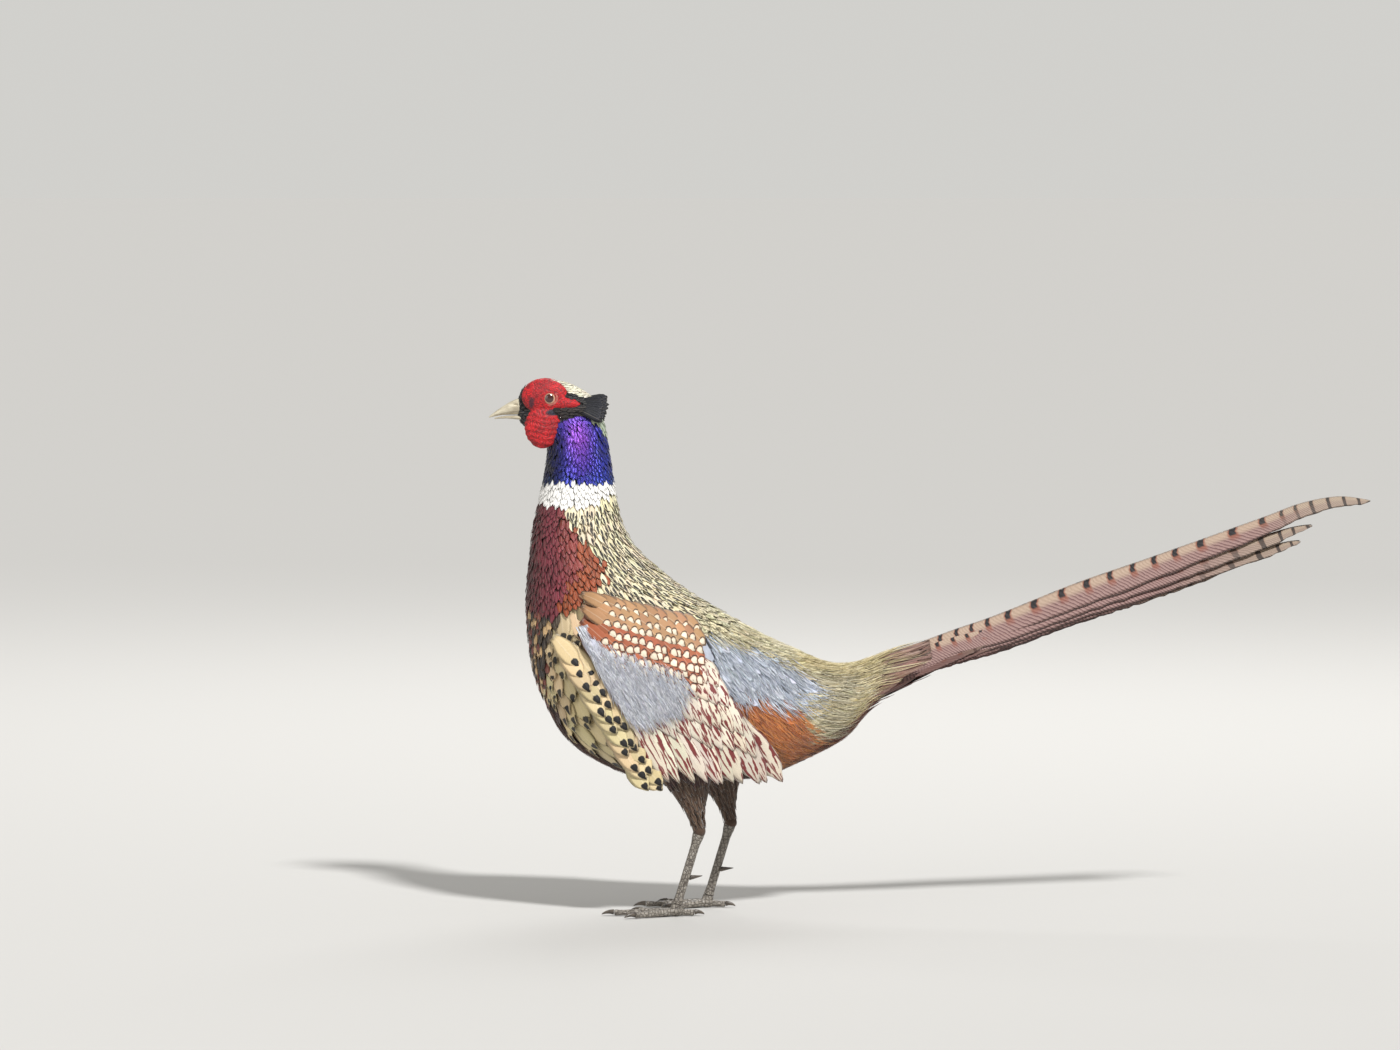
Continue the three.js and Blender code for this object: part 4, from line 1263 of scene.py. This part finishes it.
wing = {
    "wrist": (-272, 228),
    "elbow": (-184, 206),
    "bottom": 107,
    # count, first share of the way from wrist to elbow, distance of the roots from that line, length,
    # breadth, fall in degrees, root lift, tip lift, field
    "tiers": [
        (4, 0.4, 56, 80, 19, 56, 1.6, 1.3, "quill"),
        (10, 0.0, 48, 90, 17, 61, 2.2, 3.2, "quill"),
        (11, 0.0, 34, 56, 15, 60, 2.5, 4.4, "quill"),
        (12, 0.0, 24, 44, 13, 60, 2.8, 5.4, "covert"),
        (12, -0.02, 10, 34, 12.5, 59, 3.0, 6.4, "covert"),
        (11, -0.04, -2, 28, 12.5, 58, 3.2, 7.0, "covert"),
    ],
    # count, rise over that line, length, breadth, fall, root lift, tip lift
    "scapulars": [
        (12, -12, 34, 12.5, 46, 3.2, 6.6),
        (13, -6.5, 34, 12, 43, 3.2, 7.1),
        (13, -1, 33, 12, 40, 3.0, 7.6),
        (13, 4.5, 32, 12, 37, 2.8, 8.0),
        (12, 10, 31, 11.5, 34, 2.4, 8.3),
        (11, 15, 29, 11, 31, 1.8, 8.5),
        (10, 20, 26, 10.5, 28, 1.0, 8.4),
    ],
}

# how the vanes of the wings, and of the flank rows that lie over them, are formed
wingForm = {
    "steps": 1 - (1 - np.linspace(0, 1, 9)) ** 1.5,
    "sides": np.array([-1, -0.6, 0, 0.6, 1]),
    "slim": 0.45,
    "roundFrom": 0.62,
    "curl": (0.10, 4),  # how far the corners lag, and to what power
    "risen": 0.5,  # where the lift is full
    "shingle": 0.5,
    "thick": 0.5,
    "columns": 12,  # tiles across the baked picture
}
flankForm = {
    **wingForm,
    "steps": np.linspace(0, 1, 9),
    "slim": 0.5,
    "roundFrom": 0.5,
    "curl": (0.14, 3),
    "risen": 0.9,
    "shingle": 0,
    "thick": 0.4,
    "columns": 6,
}
flankRow = {"from": (-292, 226), "to": (-228, 118), "count": 12, "length": 32, "breadth": 16, "fall": 50}
wingHair = {"count": 3000, "fall": 59, "length": (11, 25), "lifts": (4.9, 7.4), "width": (0.6, 1.1)}


def flankReach(x, z):
    # how far out the body's side lies behind each place of the side view
    low = np.full(x.shape, 2.0)
    high = np.full(x.shape, 12.0)

    def offset(station):
        back = splineAt(trunk["back"], station)
        down = splineAt(trunk["front"], station) - back
        return down[..., 1] * (x - back[..., 0]) - down[..., 0] * (z - back[..., 1])

    start = np.sign(offset(low))
    for _ in range(18):
        half = (low + high) / 2
        same = np.sign(offset(half)) == start
        low = np.where(same, half, low)
        high = np.where(same, high, half)
    back = splineAt(trunk["back"], low)
    front = splineAt(trunk["front"], low)
    down = np.hypot(x - back[..., 0], z - back[..., 1]) / np.linalg.norm(front - back, axis=-1)
    angle = np.arccos(np.clip(1 - 2 * down, -1, 1))
    return trunkSurface(low, np.minimum(angle, np.pi / 2))[..., 1]


def onFlank(x, z, lift):
    reach = flankReach(x, z)
    slopeX = (flankReach(x + 4, z) - reach) / 4
    slopeZ = (flankReach(x, z + 4) - reach) / 4
    out = unit(np.stack([-slopeX, -np.ones(x.shape), -slopeZ], -1))
    return np.stack([x, -reach, z], -1) + out * lift[..., None], out


def wingVanes():
    wrist = np.array(wing["wrist"], float)
    elbow = np.array(wing["elbow"], float)
    rows = []
    for count, begin, start, length, breadth, fall, root, tip, field in wing["tiers"]:
        for i in range(count):
            share = begin + (1 - begin) * i / (count - 1)
            angle = math.radians(fall + draw.uniform(-1.5, 1.5))
            at = wrist + (elbow - wrist) * share + start * np.array([math.cos(angle), -math.sin(angle)])
            reach = (at[1] - wing["bottom"]) / math.sin(angle)
            size = min(length, reach) * draw.uniform(0.96, 1)
            kind = zoneOf["quill" if field == "covert" and share > 0.5 else field]
            rows.append((at[0], at[1], angle, size, breadth, root, tip, kind))
    for row, (count, rise, length, breadth, fall, root, tip) in enumerate(wing["scapulars"]):
        kind = zoneOf["scapular" if row < 4 else "upperScapular"]
        for i in range(count):
            share = (i - 0.3 + 0.5 * (row % 2)) / (count - 0.6)
            at = wrist + (elbow - wrist) * 0.86 * share + np.array([-4, 10 + rise])
            angle = math.radians(fall + 12 * share + draw.uniform(-2, 2))
            size = length * draw.uniform(0.93, 1.05)
            rows.append((at[0], at[1], angle, size, breadth, root, tip, kind))
    return np.array(rows)

def flankVanes():
    # feathers that lie over the wing's lower front edge, in two rows
    start = np.array(flankRow["from"], float)
    rows = []
    for k, setBack in enumerate((-8, 2)):
        for i in range(flankRow["count"]):
            share = (i + 0.5 * k) / flankRow["count"]
            at = start + share * (np.array(flankRow["to"]) - start) + np.array([setBack, -1 - 2 * k])
            angle = math.radians(flankRow["fall"] + draw.uniform(-4, 4))
            size = flankRow["length"] * draw.uniform(0.85, 1.1) * (1 - 0.25 * smooth(0.8, 1, share))
            tip = float(1.6 + 2.6 * smooth(0, 0.3, share))
            rows.append((at[0], at[1], angle, size, flankRow["breadth"], -0.6, tip, zoneOf["flank"]))
    return np.array(rows)


def onSide(side, *vectors):
    return [v * (1, -1, 1) if side == "right" else v for v in vectors]


def sideVanes(name, side, table, form, look, slotName, *nodes):
    # vanes over the bird's side from a table of roots, mirrored on the right
    t = form["steps"][None, :, None]
    s = form["sides"][None, None, :]
    x, z, angle, length, breadth, root, tip = (table[:, k][:, None, None] for k in range(7))
    lag, power = form["curl"]
    along = length * (t - lag * s * s * t**power)
    across = breadth / 2 * breadthAlong(t, form["slim"], form["roundFrom"]) * s
    px = x + np.cos(angle) * along + np.sin(angle) * across
    pz = z - np.sin(angle) * along + np.cos(angle) * across
    lift = root + (tip - root) * smooth(0, form["risen"], t) + s * form["shingle"] - 0.5 * s * s
    places, out = onSide(side, *onFlank(px, pz, lift + 0 * px))
    points, faces = vaneBodies(places, out, form["thick"])
    if side == "right":
        faces = faces[:, ::-1]
    zone = table[:, 7].astype(int)
    n = len(zone)
    uv = vaneMap((s + 1) / 2, t, n)
    maps = (uv, tilePatches(n, uv, form["columns"]))
    colours = coatColours(zone, len(points) // n)
    plumePiece(name + side, points, [faces], maps, colours, look, slotName, *nodes)


def makeWingHair(side):
    # the hair-like edges of the coverts
    outline = fields["wingHair"]
    corners = np.array(outline, float)
    tries = 3 * wingHair["count"]
    x, z = (draw.uniform(low, high, tries) for low, high in zip(corners.min(0), corners.max(0)))
    inside = np.flatnonzero(within(x, z, outline))[: wingHair["count"]]
    x, z = x[inside, None], z[inside, None]
    n = len(x)
    fall = np.radians(wingHair["fall"] + draw.normal(0, 4, n))[:, None]
    t = strandSteps[None, :]
    along = draw.uniform(*wingHair["length"], n)[:, None] * t
    bend = draw.normal(0, 1.2, n)[:, None] * t * t
    low, high = wingHair["lifts"]
    lift = low + (high - low) * smooth(0, 0.8, t) + draw.uniform(-0.5, 0.3, n)[:, None]
    px = x + np.cos(fall) * along + np.sin(fall) * bend
    pz = z - np.sin(fall) * along + np.cos(fall) * bend
    path, out = onSide(side, *onFlank(px, pz, lift))
    points, faceSets, uv = strandBodies(path, out, draw.uniform(*wingHair["width"], n))
    where = np.hstack([(x + 352) / 352, z / 352])
    maps = (uv, np.repeat(where, strandPoints, 0) * 0.99 + 0.003 * uv)
    colours = strandColours(np.full(n, zoneOf["covert"]))
    plumePiece("wing_hair_" + side, points, faceSets, maps, colours, "hair", "wing_feathers")


wingTable = wingVanes()
for side in sideSign:
    sideVanes("wing_feathers_", side, wingTable, wingForm, "wing", "wing_feathers", "wing_" + side)
for side in sideSign:
    makeWingHair(side)
for side in sideSign:
    sideVanes("flank_feathers_", side, flankVanes(), flankForm, "coat", "body_plumage")
print("wings made")


# Tail

tail = {
    "pairs": [  # how long against the middle pair, and how far the tip hangs
        (1, 2), (0.81, 19), (0.775, 29), (0.6, 30), (0.47, 28), (0.38, 25), (0.31, 22), (0.25, 19), (0.2, 16),
    ],
    "ridge": [
        (-26, 211), (16.4, 227), (54.8, 240.2), (114, 264), (163.6, 281.8), (208.4, 298.2), (267.6, 320.2),
        (297.2, 332), (326.8, 338.4), (352.4, 337),
    ],
    "inner": 5.5,
    "outer": 22,
    "steps": 56,
    "fray": (-1.1, 0.5),
    "pitch": (64, 3.2),  # slope of the middle pair in degrees, and how much flatter each next one lies
    "slim": 0.7,
    "roundFrom": 0.18,
    "sweep": 0.35,
    "thick": (1.5, 0.6),  # at the shaft and in the webs
    "webs": np.array([-1, -0.5, 0, 0.25, 0.5, 0.75, 1.0]),
}


def tailFeather(pair, share, hang, side):
    steps, webs = tail["steps"], tail["webs"]
    t = np.linspace(0, 1, steps)
    middle, flatter = tail["pitch"]
    pitch = math.radians(middle - flatter * pair)
    outward = np.array([0, side * math.cos(pitch), -math.sin(pitch)])
    upright = np.array([0, side * math.sin(pitch), math.cos(pitch)])
    ridge = splineAt(tail["ridge"], share * t * (len(tail["ridge"]) - 1))
    drop = 5 + 2.2 * pair * (1 - t) + hang * t**1.3
    spread = 2.6 + 0.7 * pair + 1.4 * t if pair else 1.9 + 0 * t
    shaft = np.stack([ridge[:, 0], side * spread, ridge[:, 1] - drop], -1)
    end = np.maximum(0, t - tail["roundFrom"]) / (1 - tail["roundFrom"])
    taper = np.sqrt(np.maximum(0.004, 1 - end * end)) * (1 - 0.35 * t)
    full = (tail["slim"] + (1 - tail["slim"]) * smooth(0, 0.4, t)) * taper
    reach = full[:, None] * np.where(webs < 0, tail["inner"] * webs, (tail["outer"] - pair) * webs)
    reach[:, -1] += draw.uniform(*tail["fray"], steps) * smooth(0.05, 0.2, t)
    # the webs sweep backwards from the shaft as barbs do
    backward = unit(np.gradient(shaft, axis=0))
    sweep = tail["sweep"] * np.abs(reach) * np.minimum(1, 3 * (1 - t))[:, None]
    places = shaft[:, None] + outward * reach[..., None] + backward[:, None] * sweep[..., None]
    out = np.broadcast_to(upright, places.shape)
    thick = np.where(np.abs(webs) < 0.01, *tail["thick"]) * (1 - 0.6 * t)[:, None]
    points, faces = vaneBodies(places[None], out[None], thick[None])
    if side < 0:
        faces = faces[:, ::-1]
    across = np.where(webs < 0, 0.25 * (1 + webs), 0.25 + 0.75 * webs)
    uv = vaneMap(across[None], t[:, None], 1)
    column = 2 * pair + (side > 0)
    patches = (uv * (0.9, 0.98) + (column + 0.05, 0.01)) / (2 * len(tail["pairs"]), 1)
    run = np.linalg.norm(np.diff(shaft, axis=0), axis=1).sum() * mm
    facts = np.tile([run, pair / 8, 0.35 if side > 0 else 0.0, 1], (len(points), 1))
    return points, faces, uv, patches, facts


def makeTail():
    feathers = []
    for pair, (share, hang) in enumerate(tail["pairs"]):
        for side in sideSign.values():
            feathers.append(tailFeather(pair, share, hang, side))
    points, faces, uv, patches, facts = (list(column) for column in zip(*feathers))
    start = 0
    for i in range(len(faces)):
        faces[i] = faces[i] + start
        start += len(points[i])
    plumePiece(
        "tail_feathers", np.vstack(points), [np.vstack(faces)], (np.vstack(uv), np.vstack(patches)),
        {"tailFacts": np.vstack(facts)}, "tail", "tail_feathers", "tail",
    )


makeTail()
print("tail made")


# Head: coat, ear tufts, red skin, eyes and bill

face = {
    "forms": {  # centre on the right side and radii
        "pad": ((-307.4, 9.2, 413.6), (18.6, 7.0, 14.2)),
        "point": ((-290, 12, 408), (12, 4.2, 5)),
        "brow": ((-314.3, 4.6, 413.4), (11.6, 6.2, 12.4)),
        "lobe": ((-309, 11.5, 389.4), (14.6, 6, 17)),
    },
    "papilla": (0.45, 520),  # height and how many there are in a metre
    "darkPatch": ((-299.5, 401.2), (7.5, 2.7)),
    "paintedFoldShade": ((-318, 409), (2.2, 5)),
}
headPlumes = {"stations": (0.7, 7.4), "tries": 26000, "jitter": 0.12, "root": -0.6, "tip": 0.5}
tuft = {
    "count": 9,
    "first": 8,  # the first feather's rise in degrees, and how much each next one turns
    "turn": -4.2,
    "length": 24.5,
    "breadth": 5.8,
}


def overFace(x, z):
    covered = np.zeros(x.shape, bool)
    for (cx, _, cz), (rx, _, rz) in face["forms"].values():
        covered |= ((x - cx) / (rx - 1)) ** 2 + ((z - cz) / (rz - 1)) ** 2 < 1
    return covered


def headCoat():
    def spacing(station, angle, places):
        return sizes[headZones(angle, places), 2]

    def keep(station, angle, places):
        bare = overFace(places[:, 0], places[:, 2]) & (np.abs(places[:, 1]) > 5)
        bald = (places[:, 0] > -326) & (places[:, 0] < -308) & (np.cos(angle) > 0.1)
        return ~bare & ~bald & (places[:, 0] < -264)

    station, angle, places = scatter(
        skullSurface, headPlumes["stations"], spacing, headPlumes["tries"], keep
    )
    zone = headZones(angle, places)
    along, _, _ = framesOn(skullSurface, station, angle)
    lie = unit(unit(along) + 0.06 * draw.standard_normal(along.shape))
    spec = coatSpec(zone, headPlumes["jitter"])
    spec["root"] = np.full(len(zone), headPlumes["root"])
    spec["tip"] = np.full(len(zone), headPlumes["tip"])
    points, faceSets, uv = layVanes(skullSurface, station, angle, lie, spec)
    maps = (uv, surfacePatches(station, angle, uv, len(skull["x"]) - 1))
    colours = coatColours(zone, len(points) // len(zone))
    plumePiece("head_feathers", points, faceSets, maps, colours, "coat", "neck_plumage")
    print("head", len(zone), "feathers")


def earTufts():
    rows, cols = len(vaneShape["steps"]), len(vaneShape["sides"])
    t = vaneShape["steps"][:, None]
    s = vaneShape["sides"][None, :]
    half = tuft["breadth"] / 2 * breadthAlong(t, 0.6, 0.78)
    places, normals = [], []
    for side in sideSign.values():
        for layer in (0, 1):
            for i in range(tuft["count"]):
                angle = math.radians(tuft["first"] + tuft["turn"] * i + draw.uniform(-2, 2))
                run = np.array([math.cos(angle), side * (0.12 + 0.05 * layer), math.sin(angle)])
                across = np.array([-math.sin(angle), 0, math.cos(angle)])
                root = np.array([-280, side * (9.6 + 0.42 * i + 1.3 * layer), 409.5 - 0.75 * i])
                length = (tuft["length"] - 0.35 * abs(i - 3)) * draw.uniform(0.93, 1) * (1 - 0.14 * layer)
                along = length * (t - 0.06 * s * s * t**4)
                places.append(root + run * along[..., None] + across * (half * s)[..., None])
                normals.append(np.broadcast_to(np.array([0, side, 0]), (rows, cols, 3)))
    n = len(places)
    points, faces = vaneBodies(np.array(places), np.array(normals), 0.5)
    faces = faces.reshape(n, -1, 4)
    faces[n // 2 :] = faces[n // 2 :, :, ::-1]
    uv = vaneMap((s + 1) / 2, t, n)
    plumePiece(
        "ear_tufts", points, [faces.reshape(-1, 4)], (uv, tilePatches(n, uv, 6, 0.9)),
        coatColours(np.full(n, zoneOf["tuft"]), len(points) // n), "gloss", "neck_plumage",
    )


def roundForm(name, centre, radii, segments=48, rings=32):
    bpy.ops.object.select_all(action="DESELECT")
    bpy.ops.mesh.primitive_uv_sphere_add(segments=segments, ring_count=rings, radius=1, enter_editmode=True)
    form = bpy.context.object
    form.name = name
    bpy.ops.mesh.select_all(action="SELECT")
    bpy.ops.transform.rotate(value=math.pi / 2, orient_axis="X", center_override=(0, 0, 0))
    bpy.ops.transform.resize(value=tuple(r * mm for r in radii), center_override=(0, 0, 0))
    bpy.ops.transform.translate(value=tuple(c * mm for c in centre))
    bpy.ops.object.mode_set(mode="OBJECT")
    return form


def makeFace(side):
    sign = sideSign[side]
    forms = [roundForm("faceForm", (x, sign * y, z), radii) for (x, y, z), radii in face["forms"].values()]
    piece = joined(forms, "face_skin_" + side)
    finishForm(piece, 0.75, 3)
    x, y, z = eye["centre"]
    socket = roundForm("eyeSocket", (x, sign * y, z), (eye["radius"] + 0.15,) * 3)
    cut = piece.modifiers.new("socket", "BOOLEAN")
    cut.operation = "DIFFERENCE"
    cut.solver = "EXACT"
    cut.object = socket
    bpy.context.view_layer.objects.active = piece
    bpy.ops.object.modifier_apply(modifier="socket")
    bpy.data.objects.remove(socket)
    mesh = piece.data
    places = vertexTable(mesh, "co")
    normals = vertexTable(mesh, "normal")
    height, count = face["papilla"]
    lump = np.array([noise.voronoi(tuple(p * count))[0][0] for p in places])
    at = places / mm
    away = np.linalg.norm(at - np.array([x, sign * y, z]), axis=1)
    folds = 0.25 * np.sin(at[:, 2] * 1.5 + 3 * np.sin(at[:, 0] * 0.16))
    rise = height * (0.5 - lump) * smooth(7.2, 9, away) + folds * smooth(404, 398, at[:, 2])
    mesh.vertices.foreach_set("co", (places + normals * rise[:, None] * mm).astype(np.float32).ravel())

    def near(spot, low, high):
        (cx, cz), (rx, rz) = face[spot]
        return 1 - smooth(low, high, np.hypot((at[:, 0] - cx) / rx, (at[:, 2] - cz) / rz))

    # the dark patch under the eye is its own colour; the fold in front of the eye gets painted shade
    dark = np.maximum(near("darkPatch", 0.7, 1.15), 0.8 * near("paintedFoldShade", 0.6, 1.2))
    layer = mesh.attributes.new("faceDarkAndFoldShade", "FLOAT", "POINT")
    layer.data.foreach_set("value", dark.astype(np.float32))
    mesh.update()
    selectOnly(piece)
    bpy.ops.object.shade_smooth()
    dress(piece, "face", "face_skin")


def makeEye(side):
    x, y, z = eye["centre"]
    ball = roundForm("eyeball_" + side, (x, sideSign[side] * y, z), (eye["radius"],) * 3, 64, 48)
    bpy.ops.object.shade_smooth()
    dress(ball, "eye", "eye", "eye_" + side)
    bpy.ops.object.select_all(action="DESELECT")
    bpy.ops.mesh.primitive_torus_add(
        major_radius=eye["lid"] * mm, minor_radius=eye["lidThick"] * mm, major_segments=72, minor_segments=16
    )
    lid = bpy.context.object
    lid.name = "eyelid_" + side
    bpy.ops.object.mode_set(mode="EDIT")
    bpy.ops.mesh.select_all(action="SELECT")
    bpy.ops.transform.resize(value=(1.06, 0.94, 0.8), center_override=(0, 0, 0))
    bpy.ops.transform.rotate(value=math.pi / 2, orient_axis="X", center_override=(0, 0, 0))
    bpy.ops.transform.translate(value=(x * mm, sideSign[side] * eye["lidOut"] * mm, z * mm))
    bpy.ops.object.mode_set(mode="OBJECT")
    bpy.ops.object.shade_smooth()
    dress(lid, "lid", "face_skin")


# voxel in millimetres and rounds of smoothing for the copies of the frame's solids
fineness = {"bill": (0.4, 4), "leg": (0.6, 2), "spur": (0.4, 2), "claw": (0.35, 2)}


def refine(node, name, kind, look, slotName):
    # a finer, rounded copy of a solid of the frame takes its place
    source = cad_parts[node]
    copy = source.copy()
    copy.data = source.data.copy()
    copy.parent = None
    copy.matrix_world = source.matrix_world
    for key in list(copy.keys()):
        if key.startswith("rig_"):
            del copy[key]
    scene.collection.objects.link(copy)
    copy.name = name
    copy.hide_render = False
    copy.hide_viewport = False
    selectOnly(copy)
    bpy.ops.object.mode_set(mode="EDIT")
    bpy.ops.mesh.select_all(action="SELECT")
    bpy.ops.mesh.remove_doubles(threshold=0.00002)
    bpy.ops.object.mode_set(mode="OBJECT")
    finishForm(copy, *fineness[kind])
    dress(copy, look, slotName, node)


headCoat()
earTufts()
for side in sideSign:
    makeFace(side)
    makeEye(side)
for node in ("bill_upper", "bill_lower"):
    refine(node, node + "_horn", "bill", "bill", "bill_horn")
print("head made")


# Legs

thighPlumes = {
    "shares": (0.05, 0.97),  # of the way from the hock to the belly
    "tries": 12000,
    "jitter": 0.15,
    "bellyFrom": 122,
    "root": -1.0,
    "spacing": (3.2, 1.4),  # at the hock and what is added above it, as in the next two
    "length": (11.5, 23),
    "breadth": (3, 12),
}


def thighCoat(side):
    surface = thighSurface(side)

    def spacing(share, angle, places):
        low, more = thighPlumes["spacing"]
        return low + more * smooth(0.05, 0.3, share)

    share, angle, places = scatter(surface, thighPlumes["shares"], spacing, thighPlumes["tries"])
    along, _, _ = framesOn(surface, share, angle)
    lie = unit(-unit(along) + np.array([0.25, 0, 0]) + 0.08 * draw.standard_normal(along.shape))
    n = len(share)
    zone = np.where(places[:, 2] > thighPlumes["bellyFrom"], zoneOf["belly"], zoneOf["thigh"])
    spec = coatSpec(zone, thighPlumes["jitter"])
    # short, slim and close to the leg at the hock
    for key in ("length", "breadth"):
        low, more = thighPlumes[key]
        spec[key] = np.minimum(spec[key], low + more * share)
    spec["root"] = np.full(n, thighPlumes["root"])
    spec["tip"] = 0.6 + 0.3 * draw.random(n) - 2.0 * (1 - smooth(0, 0.25, share))
    points, faceSets, uv = layVanes(surface, share, angle, lie, spec)
    maps = (uv, surfacePatches(share, angle, uv, 1))
    colours = coatColours(zone, len(points) // n)
    plumePiece("thigh_feathers_" + side, points, faceSets, maps, colours, "hair", "thigh_plumage")


for side in sideSign:
    refine("tarsus_" + side, "shank_" + side, "leg", "leg", "leg_scales")
    refine("foot_" + side, "toes_" + side, "leg", "leg", "leg_scales")
    refine("spur_" + side, "spur_horn_" + side, "spur", "claw", "dark_horn")
    for toe in ("inner", "middle", "outer", "hind"):
        claw = "claw_%s_%s" % (toe, side)
        refine(claw, claw + "_horn", "claw", "claw", "dark_horn")
for side in sideSign:
    thighCoat(side)
print("legs made")
